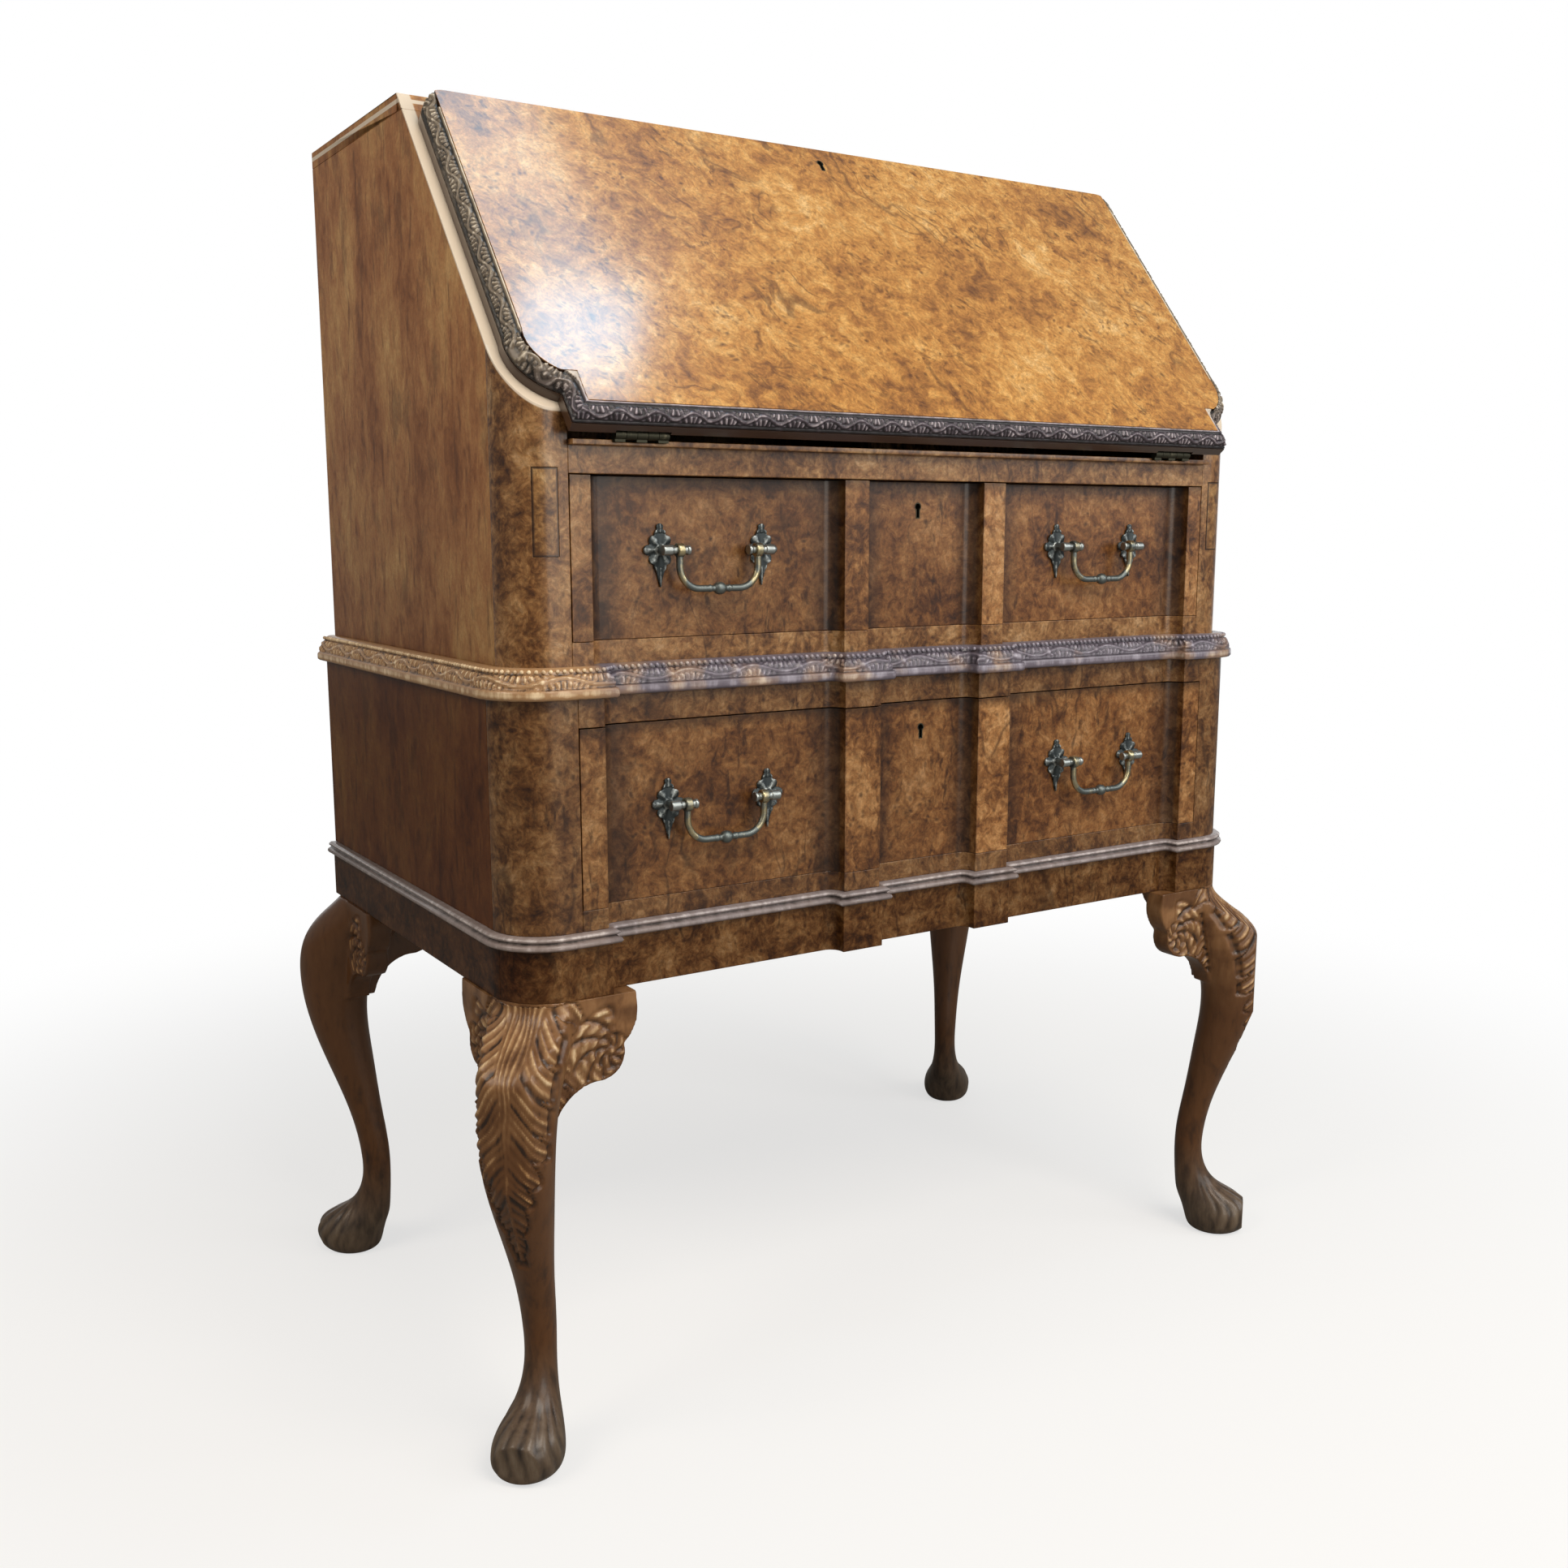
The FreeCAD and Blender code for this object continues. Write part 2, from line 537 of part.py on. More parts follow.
def make_lower_case():
    """Carcass round the lower drawer."""
    post_back = LOWER_FACE + LOWER_CORNER_RADIUS
    post = corner_post(LOWER_PLAN, LOWER_BOTTOM, LOWER_TOP)
    save("lower_post_right", post)
    save("lower_post_left", mirrored(post))
    side = box(LOWER_INSIDE, HALF_LOWER, post_back, BACK_PLANE, LOWER_BOTTOM, LOWER_TOP)
    save("lower_side_right", side)
    save("lower_side_left", mirrored(side))
    rail_space = box(-DRAWER_HALF_OPENING, DRAWER_HALF_OPENING, -LOWER_WIDTH,
                     LOWER_FACE + RAIL_DEPTH, LOWER_DRAWER_TOP, LOWER_TOP)
    save("lower_top_rail",
         plan_prism(LOWER_PLAN, 0.0, LOWER_DRAWER_TOP, LOWER_TOP).common(rail_space))
    rail_space = box(-DRAWER_HALF_OPENING, DRAWER_HALF_OPENING, -LOWER_WIDTH, post_back,
                     LOWER_BOTTOM, LOWER_DRAWER_BOTTOM)
    save("lower_bottom_rail",
         plan_prism(LOWER_PLAN, 0.0, LOWER_BOTTOM, LOWER_DRAWER_BOTTOM).common(rail_space))
    save("lower_dust_board", box(-LOWER_INSIDE, LOWER_INSIDE, post_back, BACK_INNER,
                                 LOWER_BOTTOM, LOWER_BOTTOM + DUST_BOARD_THICKNESS))
    save("lower_back", box(-LOWER_INSIDE, LOWER_INSIDE, BACK_INNER, BACK_PLANE,
                           LOWER_BOTTOM, LOWER_TOP))
    runner = box(LOWER_INSIDE - RUNNER_WIDTH, LOWER_INSIDE, post_back, BACK_INNER,
                 LOWER_BOTTOM + DUST_BOARD_THICKNESS, LOWER_DRAWER_BOTTOM)
    guide = box(DRAWER_HALF_OPENING, LOWER_INSIDE, post_back, BACK_INNER,
                LOWER_DRAWER_BOTTOM, LOWER_DRAWER_BOTTOM + GUIDE_HEIGHT)
    kicker = box(LOWER_INSIDE - RUNNER_WIDTH, LOWER_INSIDE, post_back, BACK_INNER,
                 LOWER_DRAWER_TOP, LOWER_TOP)
    strips = [runner.fuse(guide).removeSplitter(), kicker]
    save("lower_runners", group(strips + [mirrored(strip) for strip in strips]))
    band = moulding(LOWER_PLAN, WAIST_PROJECTION, WAIST_PROFILE_SHARES, LOWER_TOP,
                    WAIST_HEIGHT)
    band = band.cut(plan_prism(UPPER_PLAN, 0.0, LOWER_TOP - OVERRUN,
                               UPPER_FLOOR + OVERRUN))
    save("waist_moulding", split_band(band, LOWER_FACE + LOWER_CORNER_RADIUS))


# Upper case


def top_board_solids(slope):
    """Top board with a lipping on its sloping edge, left open where the fall's bolt enters."""
    top = box(-HALF_UPPER, HALF_UPPER, 0, BACK_PLANE, SIDES_TOP, TOTAL_HEIGHT).cut(slope)
    lipping_back = fall_bolt_mortise().BoundBox.YMax
    front = box(-HALF_UPPER, HALF_UPPER, 0, lipping_back, SIDES_TOP, TOTAL_HEIGHT)
    half = BOLT_HALF_WIDTH + BOLT_CLEARANCE * 2
    length = top.common(box(half, HALF_UPPER, 0, lipping_back, SIDES_TOP, TOTAL_HEIGHT))
    bolt_end = FALL_TOP - FALL_LOCK_BELOW_TOP + FALL_BOLT_TRAVEL + BOLT_CLEARANCE * 2
    above_bolt = in_fall_plane(box(-half, half, bolt_end, FALL_TOP * 2, -LOWER_WIDTH,
                                   LOWER_WIDTH))
    cap = top.common(front).common(above_bolt)
    return group([top.cut(front), length, mirrored(length), cap])


def make_upper_case():
    """Carcass round the upper drawer and the writing compartment."""
    slope = above_slope()
    post = corner_post(UPPER_PLAN, LOWER_TOP, SIDES_TOP).cut(slope)
    tunnel = box(LOPER_INNER - FIT_GAP, LOPER_OUTER + FIT_GAP, -OVERRUN,
                 UPPER_CORNER_RADIUS + OVERRUN, LOPER_BOTTOM - FIT_GAP, LOPER_TOP + FIT_GAP)
    post = post.cut(tunnel)
    save("upper_post_right", post)
    save("upper_post_left", mirrored(post))
    side = box(UPPER_INSIDE, HALF_UPPER, UPPER_CORNER_RADIUS, BACK_PLANE, LOWER_TOP,
               SIDES_TOP)
    side = side.cut(slope)
    save("upper_side_right", side)
    save("upper_side_left", mirrored(side))
    floor = plan_prism(UPPER_PLAN, 0.0, LOWER_TOP, UPPER_DRAWER_BOTTOM)
    front_part = box(-DRAWER_HALF_OPENING, DRAWER_HALF_OPENING, -LOWER_WIDTH,
                     UPPER_CORNER_RADIUS, 0, TOTAL_HEIGHT)
    rear_part = box(-UPPER_INSIDE, UPPER_INSIDE, UPPER_CORNER_RADIUS, BACK_INNER, 0,
                    UPPER_FLOOR)
    save("upper_bottom_board", floor.common(front_part.fuse(rear_part)))
    rail = box(-DRAWER_HALF_OPENING, DRAWER_HALF_OPENING, 0, RAIL_DEPTH,
               UPPER_DRAWER_TOP, BOARD_TOP)
    lip = box(-DRAWER_HALF_OPENING, DRAWER_HALF_OPENING, -LIP_PROJECTION, 0,
              BOARD_TOP - LIP_THICKNESS, BOARD_TOP)
    hinge_beds = pair(hinge_bed())
    save("upper_rail", rail.fuse(lip).removeSplitter().cut(hinge_beds))
    board_bottom = BOARD_TOP - WRITING_BOARD_THICKNESS
    board = box(-DRAWER_HALF_OPENING, DRAWER_HALF_OPENING, RAIL_DEPTH,
                UPPER_CORNER_RADIUS, board_bottom, BOARD_TOP)
    board = board.fuse(box(-UPPER_INSIDE, UPPER_INSIDE, UPPER_CORNER_RADIUS, BACK_INNER,
                           board_bottom, BOARD_TOP)).removeSplitter()
    save("writing_board", board.cut(hinge_beds))
    save("top_board", top_board_solids(slope))
    save("upper_back", box(-UPPER_INSIDE, UPPER_INSIDE, BACK_INNER, BACK_PLANE,
                           LOWER_TOP, SIDES_TOP))
    partition = box(DRAWER_HALF_OPENING, DRAWER_HALF_OPENING + PARTITION_THICKNESS,
                    UPPER_CORNER_RADIUS, BACK_INNER, UPPER_DRAWER_BOTTOM, board_bottom)
    bearer = box(DRAWER_HALF_OPENING + PARTITION_THICKNESS, UPPER_INSIDE,
                 UPPER_CORNER_RADIUS, BACK_INNER,
                 LOPER_BOTTOM - FIT_GAP - LOPER_BEARER_THICKNESS, LOPER_BOTTOM - FIT_GAP)
    spacer = box(LOPER_OUTER + FIT_GAP, UPPER_INSIDE, UPPER_CORNER_RADIUS, BACK_INNER,
                 LOPER_BOTTOM - FIT_GAP, board_bottom)
    runner = box(UPPER_INSIDE - RUNNER_WIDTH, UPPER_INSIDE, UPPER_CORNER_RADIUS, BACK_INNER,
                 UPPER_FLOOR, UPPER_DRAWER_BOTTOM)
    strips = [partition, bearer, spacer, runner]
    save("loper_guides", group(strips + [mirrored(strip) for strip in strips]))


def make_lopers():
    """Pull-out bearers that carry the open fall."""
    loper = box(LOPER_INNER, LOPER_OUTER, 0, LOPER_LENGTH, LOPER_BOTTOM, LOPER_TOP)
    loper = loper.common(straight_plan_prism(UPPER_PLAN, LOWER_TOP, TOTAL_HEIGHT))
    save("loper_right", loper)
    save("loper_left", mirrored(loper))


# Fall


def fall_outline(inset, depth):
    """Outline of the fall drawn in by inset, running on past its upper edge."""
    half = FALL_HALF_WIDTH - inset
    tongue = TONGUE_HALF_WIDTH - inset
    low = FALL_EDGE + inset
    step = FALL_EDGE + TONGUE_STEP + inset
    curve_x = TONGUE_HALF_WIDTH + FIT_GAP
    curve_y = FALL_EDGE + TONGUE_STEP + FALL_LOWER_CURVE
    sweep_x = curve_x + (half - curve_x) * math.sqrt(0.5)
    sweep_y = curve_y - (curve_y - step) * math.sqrt(0.5)
    crown = FALL_TOP_INNER + OVERRUN
    right = [line(Vector(0, low, depth), Vector(tongue, low, depth)),
             line(Vector(tongue, low, depth), Vector(tongue, step, depth)),
             line(Vector(tongue, step, depth), Vector(curve_x, step, depth)),
             arc(Vector(curve_x, step, depth), Vector(sweep_x, sweep_y, depth),
                 Vector(half, curve_y, depth)),
             line(Vector(half, curve_y, depth), Vector(half, crown, depth))]
    left = [mirrored(edge) for edge in right]
    closing = line(Vector(half, crown, depth), Vector(-half, crown, depth))
    return Part.Wire(Part.__sortEdges__(right + [closing] + left))


def fall_block(inset, n0, n1):
    """Slab on the fall's outline between two depths."""
    return Part.Face(fall_outline(inset, n0)).extrude(Vector(0, 0, n1 - n0))


def fall_corner_waste():
    """Waste outside the two rounded upper corners of the fall."""
    centre_x = FALL_HALF_WIDTH - FALL_CORNER_RADIUS
    centre_y = FALL_TOP - FALL_CORNER_RADIUS
    waste = box(centre_x, FALL_HALF_WIDTH + OVERRUN, centre_y, FALL_TOP_INNER + OVERRUN,
                -OVERRUN, FALL_OUTER + OVERRUN)
    bar = rod(Vector(centre_x, centre_y, -OVERRUN), Z_AXIS, FALL_CORNER_RADIUS,
              FALL_OUTER + OVERRUN * 2)
    return pair(waste.cut(bar))


def above_top():
    """Everything higher than the top of the bureau."""
    return box(-LOWER_WIDTH, LOWER_WIDTH, -TOTAL_HEIGHT, TOTAL_HEIGHT, TOTAL_HEIGHT,
               TOTAL_HEIGHT * 2)


def hinge_bed():
    """Housing for the fixed hinge leaf in the board and its lip."""
    half = HINGE_WIDTH / 2
    back = PIN_Y + HINGE_LEAF_LENGTH + LIP_PROJECTION
    return box(HINGE_CENTRE - half, HINGE_CENTRE + half, -OVERRUN, back,
               BOARD_TOP - HINGE_LEAF_THICKNESS, BOARD_TOP + OVERRUN)


def keyhole(depth_from, depth_to, grow):
    """Keyhole shape, pointing down, extruded along its own depth."""
    round_part = rod(Vector(0, 0, depth_from), Z_AXIS, KEYHOLE_RADIUS + grow,
                     depth_to - depth_from)
    slot = box(-KEYHOLE_SLOT_HALF - grow, KEYHOLE_SLOT_HALF + grow, -KEYHOLE_DROP - grow, 0,
               depth_from, depth_to)
    return round_part.fuse(slot).removeSplitter()


def fall_keyhole_place():
    return FALL_TOP - FALL_KEYHOLE_FROM_TOP


def make_fall():
    """Fall front: veneered panel, carved edge moulding and the leather inside it."""
    lower = FALL_OUTER - OVOLO
    waste = fall_corner_waste()
    field = fall_block(OVOLO, lower, FALL_OUTER + OVERRUN)
    rim = fall_block(0, lower, FALL_OUTER).cut(field)
    panel = fall_block(0, FALL_INNER, FALL_OUTER).cut(rim).cut(waste)
    rim = rim.common(fall_envelope(lower)).cut(waste)
    notch = rod(Vector(HINGE_CENTRE - HINGE_WIDTH / 2 - HINGE_KNUCKLE_GAP, 0, 0), X_AXIS,
                HINGE_NOTCH_RADIUS, HINGE_WIDTH + HINGE_KNUCKLE_GAP * 2)
    leaf_bed = box(HINGE_CENTRE - HINGE_WIDTH / 2, HINGE_CENTRE + HINGE_WIDTH / 2,
                   FALL_EDGE - OVERRUN, HINGE_LEAF_LENGTH, -OVERRUN,
                   FALL_INNER + HINGE_LEAF_THICKNESS)
    panel = panel.cut(pair(notch)).cut(pair(leaf_bed))
    hole = keyhole(FALL_INNER - OVERRUN, FALL_OUTER + OVERRUN, KEYHOLE_LINER)
    hole.translate(Vector(0, fall_keyhole_place(), 0))
    panel = panel.cut(hole).cut(leather_solid())
    save("fall_panel", in_fall_plane(panel).cut(above_top()))
    save("fall_moulding", in_fall_plane(rim).cut(above_top()))
    save("fall_leather", in_fall_plane(leather_solid()))


def fall_envelope(lower):
    """Envelope that rounds the outer arris of the carved edge."""
    facet = OVOLO_FACET / 3
    steps = [(0.0, lower - OVERRUN), (0.0, FALL_OUTER - OVOLO_FACET),
             (facet, FALL_OUTER - facet), (OVOLO_FACET, FALL_OUTER)]
    return Part.makeLoft([fall_outline(inset, depth) for inset, depth in steps], True, True)


def leather_solid():
    """Leather writing surface, let into the inner face of the fall."""
    half = TONGUE_HALF_WIDTH - LEATHER_BORDER
    lock_end = FALL_TOP - FALL_LOCK_BELOW_TOP - LOCK_HEIGHT
    margin = (lock_end - HINGE_LEAF_LENGTH) * LEATHER_MARGIN_SHARE
    return box(-half, half, HINGE_LEAF_LENGTH + margin, lock_end - margin, FALL_INNER,
               FALL_INNER + LEATHER_THICKNESS)


def knuckle_spans():
    """Left ends of the hinge knuckles and their common length."""
    pitch = HINGE_WIDTH / HINGE_KNUCKLES
    start = HINGE_CENTRE - HINGE_WIDTH / 2
    return [start + pitch * index for index in range(HINGE_KNUCKLES)], pitch


def make_hinges():
    """Two brass hinges: fixed leaves with their pins, and moving leaves."""
    starts, pitch = knuckle_spans()
    length = pitch - HINGE_KNUCKLE_GAP
    half = HINGE_WIDTH / 2
    pin_at = Vector(0, PIN_Y, PIN_Z)
    fixed = box(HINGE_CENTRE - half, HINGE_CENTRE + half, PIN_Y + HINGE_KNUCKLE_RADIUS / 2,
                PIN_Y + HINGE_LEAF_LENGTH + LIP_PROJECTION,
                BOARD_TOP - HINGE_LEAF_THICKNESS, BOARD_TOP)
    gap_cuts = []
    for index, start in enumerate(starts):
        if index % 2 == 0:
            barrel = rod(pin_at + X_AXIS * start, X_AXIS, HINGE_KNUCKLE_RADIUS, length)
            neck = box(start, start + length, PIN_Y - HINGE_PIN_RADIUS,
                       PIN_Y + HINGE_KNUCKLE_RADIUS, BOARD_TOP - HINGE_LEAF_THICKNESS,
                       PIN_Z)
            fixed = fixed.fuse(barrel).fuse(neck)
        else:
            gap_cuts.append(rod(pin_at + X_AXIS * (start - HINGE_KNUCKLE_GAP), X_AXIS,
                                HINGE_NOTCH_RADIUS, pitch + HINGE_KNUCKLE_GAP))
    for cutter in gap_cuts:
        fixed = fixed.cut(cutter)
    bore = rod(pin_at, X_AXIS, HINGE_PIN_RADIUS, LOWER_WIDTH)
    fixed = fixed.cut(bore).removeSplitter()
    pin = rod(pin_at + X_AXIS * (HINGE_CENTRE - half), X_AXIS, HINGE_PIN_RADIUS,
              HINGE_WIDTH - HINGE_KNUCKLE_GAP)
    save("hinge_fixed_leaves", group([fixed, pin, mirrored(fixed), mirrored(pin)]))
    moving = box(HINGE_CENTRE - half, HINGE_CENTRE + half, HINGE_NOTCH_RADIUS,
                 HINGE_LEAF_LENGTH, FALL_INNER, FALL_INNER + HINGE_LEAF_THICKNESS)
    for index, start in enumerate(starts):
        if index % 2 == 1:
            barrel = rod(Vector(start, 0, 0), X_AXIS, HINGE_KNUCKLE_RADIUS, length)
            neck = box(start, start + length, 0, HINGE_NOTCH_RADIUS + HINGE_LEAF_THICKNESS,
                       FALL_INNER - HINGE_LEAF_THICKNESS, FALL_INNER + HINGE_LEAF_THICKNESS)
            moving = moving.fuse(barrel).fuse(neck)
    bore = rod(ORIGIN, X_AXIS, HINGE_PIN_RADIUS + HINGE_PIN_CLEARANCE, LOWER_WIDTH)
    moving = in_fall_plane(moving.cut(bore).removeSplitter())
    save("hinge_moving_leaves", pair(moving))


def fall_lock_solids():
    """Fall lock with its bolt in fall coordinates, on the inner face near the top."""
    end = FALL_TOP - FALL_LOCK_BELOW_TOP
    case = box(-LOCK_HALF_WIDTH, LOCK_HALF_WIDTH, end - LOCK_HEIGHT, end,
               FALL_INNER - LOCK_DEPTH, FALL_INNER)
    middle = FALL_INNER - LOCK_DEPTH / 2
    bolt = box(-BOLT_HALF_WIDTH, BOLT_HALF_WIDTH, end - BOLT_HEIGHT, end - FIT_GAP,
               middle - BOLT_DEPTH / 2, middle + BOLT_DEPTH / 2)
    pocket = box(-BOLT_HALF_WIDTH - BOLT_CLEARANCE, BOLT_HALF_WIDTH + BOLT_CLEARANCE,
                 end - BOLT_HEIGHT - BOLT_CLEARANCE, end + OVERRUN,
                 middle - BOLT_DEPTH / 2 - BOLT_CLEARANCE,
                 middle + BOLT_DEPTH / 2 + BOLT_CLEARANCE)
    return case.cut(pocket), bolt


def fall_bolt_mortise():
    """Slot in the top board that takes the fall's bolt."""
    end = FALL_TOP - FALL_LOCK_BELOW_TOP
    middle = FALL_INNER - LOCK_DEPTH / 2
    clear = BOLT_CLEARANCE * 2
    slot = box(-BOLT_HALF_WIDTH - clear, BOLT_HALF_WIDTH + clear, end - OVERRUN,
               end + FALL_BOLT_TRAVEL + clear, middle - BOLT_DEPTH / 2 - clear,
               middle + BOLT_DEPTH / 2 + clear)
    return in_fall_plane(slot)


def make_locks():
    """Three locks with keyhole liners, and their sliding bolts."""
    case, bolt = fall_lock_solids()
    liner = keyhole(FALL_INNER, FALL_OUTER, KEYHOLE_LINER).cut(
        keyhole(FALL_INNER - OVERRUN, FALL_OUTER + OVERRUN, 0))
    liner.translate(Vector(0, fall_keyhole_place(), 0))
    save("fall_lock", in_fall_plane(group([case, liner])))
    save("fall_bolt", in_fall_plane(bolt))
    drawer_lock("upper", 0.0, UPPER_DRAWER_TOP, UPPER_KEYHOLE_HEIGHT)
    drawer_lock("lower", LOWER_FACE, LOWER_DRAWER_TOP, LOWER_KEYHOLE_HEIGHT)


def upright_keyhole(y0, y1, height, grow):
    """Keyhole through an upright front, from y0 back to y1."""
    hole = keyhole(-y1, -y0, grow)
    hole.rotate(ORIGIN, X_AXIS, QUARTER_TURN)
    hole.translate(Vector(0, 0, height))
    return hole


def drawer_lock(name, face, opening_top, keyhole_height):
    """Lock on the back of a drawer front, its bolt sliding up behind the rail."""
    top = opening_top - DRAWER_SIDE_GAP
    y0 = face + DRAWER_FRONT_THICKNESS
    y1 = y0 + LOCK_DEPTH
    case = box(-LOCK_HALF_WIDTH, LOCK_HALF_WIDTH, y0, y1, top - LOCK_HEIGHT, top)
    middle = (y0 + y1) / 2
    bolt = box(-BOLT_HALF_WIDTH, BOLT_HALF_WIDTH, middle - BOLT_DEPTH / 2,
               middle + BOLT_DEPTH / 2, top - BOLT_HEIGHT, top - FIT_GAP)
    pocket = box(-BOLT_HALF_WIDTH - BOLT_CLEARANCE, BOLT_HALF_WIDTH + BOLT_CLEARANCE,
                 middle - BOLT_DEPTH / 2 - BOLT_CLEARANCE,
                 middle + BOLT_DEPTH / 2 + BOLT_CLEARANCE,
                 top - BOLT_HEIGHT - BOLT_CLEARANCE, top + OVERRUN)
    recess = face + RECESS_DEPTH
    liner = upright_keyhole(recess, y0, keyhole_height, KEYHOLE_LINER).cut(
        upright_keyhole(recess - OVERRUN, y0 + OVERRUN, keyhole_height, 0))
    save(name + "_lock", group([case.cut(pocket), liner]))
    save(name + "_bolt", bolt)


# Drawers


def make_drawer(name, plan, z0, z1, keyhole_height):
    """Drawer of five boards behind a block-front face."""
    face = plan["face"]
    bottom = z0 + FIT_GAP
    top = z1 - DRAWER_SIDE_GAP
    y_front = face + DRAWER_FRONT_THICKNESS
    space = box(-DRAWER_HALF, DRAWER_HALF, -LOWER_WIDTH, y_front, bottom, top)
    front = plan_prism(plan, 0.0, bottom, top).common(space)
    front = front.cut(upright_keyhole(-OVERRUN, y_front + OVERRUN, keyhole_height,
                                      KEYHOLE_LINER))
    save(name + "_front", front)
    y_end = face + DRAWER_LENGTH
    side_top = top - DRAWER_SIDE_DROP
    inner = DRAWER_HALF - DRAWER_SIDE_THICKNESS
    side = box(inner, DRAWER_HALF, y_front, y_end, bottom, side_top)
    save(name + "_sides", pair(side))
    floor_z = bottom + DRAWER_BOTTOM_RAISE
    floor_top = floor_z + DRAWER_BOTTOM_THICKNESS
    save(name + "_back", box(-inner, inner, y_end - DRAWER_BACK_THICKNESS, y_end,
                             floor_top, side_top))
    save(name + "_bottom", box(-inner, inner, y_front, y_end, floor_z, floor_top))


# Handles


def rosette(x, y, z):
    """Cast back plate with lobes, a finial above and a drop below."""
    at = Vector(x, y, z)
    towards = -Y_AXIS
    plate = rod(at, towards, PLATE_RADIUS, PLATE_THICKNESS)
    for index in range(PLATE_LOBES):
        turn = 2 * math.pi * index / PLATE_LOBES
        centre = at + Vector(math.cos(turn), 0, math.sin(turn)) * PLATE_RADIUS
        plate = plate.fuse(rod(centre, towards, PLATE_LOBE_RADIUS, PLATE_THICKNESS))
    for rise, radius in ((FINIAL_RISE, FINIAL_RADIUS), (FINIAL_TIP_RISE, FINIAL_TIP_RADIUS),
                         (-DROP_FALL, DROP_RADIUS)):
        plate = plate.fuse(rod(at + Z_AXIS * rise, towards, radius, PLATE_THICKNESS))
    tip = [Vector(x - DROP_NECK_HALF, y, z - DROP_FALL),
           Vector(x + DROP_NECK_HALF, y, z - DROP_FALL), Vector(x, y, z - DROP_TIP_FALL)]
    drop = Part.Face(Part.makePolygon(tip + tip[:1])).extrude(towards * PLATE_THICKNESS)
    return plate.fuse(drop)


def handle_fixed(centre_x, panel_y, z):
    """Both rosettes of a handle, each with its post and the barrel that carries the bail."""
    pieces = []
    for side in (-1, 1):
        foot_x = centre_x + side * HANDLE_PLATE_SPREAD
        foot = Vector(foot_x, panel_y, z)
        inward = X_AXIS * -side
        post = rod(foot, -Y_AXIS, POST_RADIUS, POST_PROJECTION)
        start = foot - Y_AXIS * POST_PROJECTION - inward * BARREL_OUTER_END
        barrel = rod(start, inward, BARREL_RADIUS, BARREL_LENGTH)
        cap_at = start + inward * (BARREL_LENGTH - BARREL_CAP_LENGTH)
        cap = rod(cap_at, inward, BARREL_CAP_RADIUS, BARREL_CAP_LENGTH)
        knuckle = rod(start, inward, BARREL_CAP_RADIUS, KNUCKLE_LENGTH)
        solid = rosette(foot_x, panel_y, z).fuse(post).fuse(barrel).fuse(cap)
        pieces.append(solid.fuse(knuckle).removeSplitter())
    return pieces


def bail(centre_x, panel_y, z):
    """Swinging bail with an eye round each barrel and a knot in the middle."""
    bend_height = BAIL_BEND - BAIL_DROP
    flat_half = BAIL_HALF_SPREAD - BAIL_BEND
    wire = rod(Vector(-flat_half, 0, -BAIL_DROP), X_AXIS, BAIL_RADIUS, flat_half * 2)
    arm_foot = Vector(BAIL_HALF_SPREAD, 0, bend_height)
    arm = rod(arm_foot, Z_AXIS, BAIL_RADIUS, -bend_height)
    section = Part.Face(Part.Wire([Part.Circle(arm_foot, Z_AXIS, BAIL_RADIUS).toShape()]))
    bend = section.revolve(Vector(flat_half, 0, bend_height), Y_AXIS, QUARTER_TURN)
    eye_at = Vector(BAIL_HALF_SPREAD - BAIL_EYE_WIDTH / 2, 0, 0)
    eye = rod(eye_at, X_AXIS, BAIL_EYE_RADIUS, BAIL_EYE_WIDTH)
    for half in (arm, bend, eye):
        wire = wire.fuse([half, mirrored(half)])
    low = Vector(0, 0, -BAIL_DROP)
    wire = wire.fuse(Part.makeSphere(BAIL_KNOT_RADIUS, low))
    for towards in (-Z_AXIS, Z_AXIS):
        wire = wire.fuse(Part.makeCone(BAIL_TIP_ROOT_RADIUS, BAIL_TIP_RADIUS,
                                       BAIL_TIP_LENGTH, low, towards))
    bore = rod(Vector(-HANDLE_CENTRE, 0, 0), X_AXIS,
               BARREL_RADIUS + BAIL_EYE_CLEARANCE, HANDLE_CENTRE * 2)
    hung = wire.cut(bore).removeSplitter()
    hung.translate(Vector(centre_x, panel_y - POST_PROJECTION, z))
    return hung


def make_handles():
    """Two bail handles on each drawer."""
    for name, face, height in (("upper", 0.0, UPPER_HANDLE_HEIGHT),
                               ("lower", LOWER_FACE, LOWER_HANDLE_HEIGHT)):
        panel_y = face + RECESS_DEPTH
        fixed = []
        for side, hand in ((-1, "left"), (1, "right")):
            fixed += handle_fixed(side * HANDLE_CENTRE, panel_y, height)
            save(name + "_bail_" + hand, bail(side * HANDLE_CENTRE, panel_y, height))
        save(name + "_handle_plates", group(fixed))


# Fitted interior


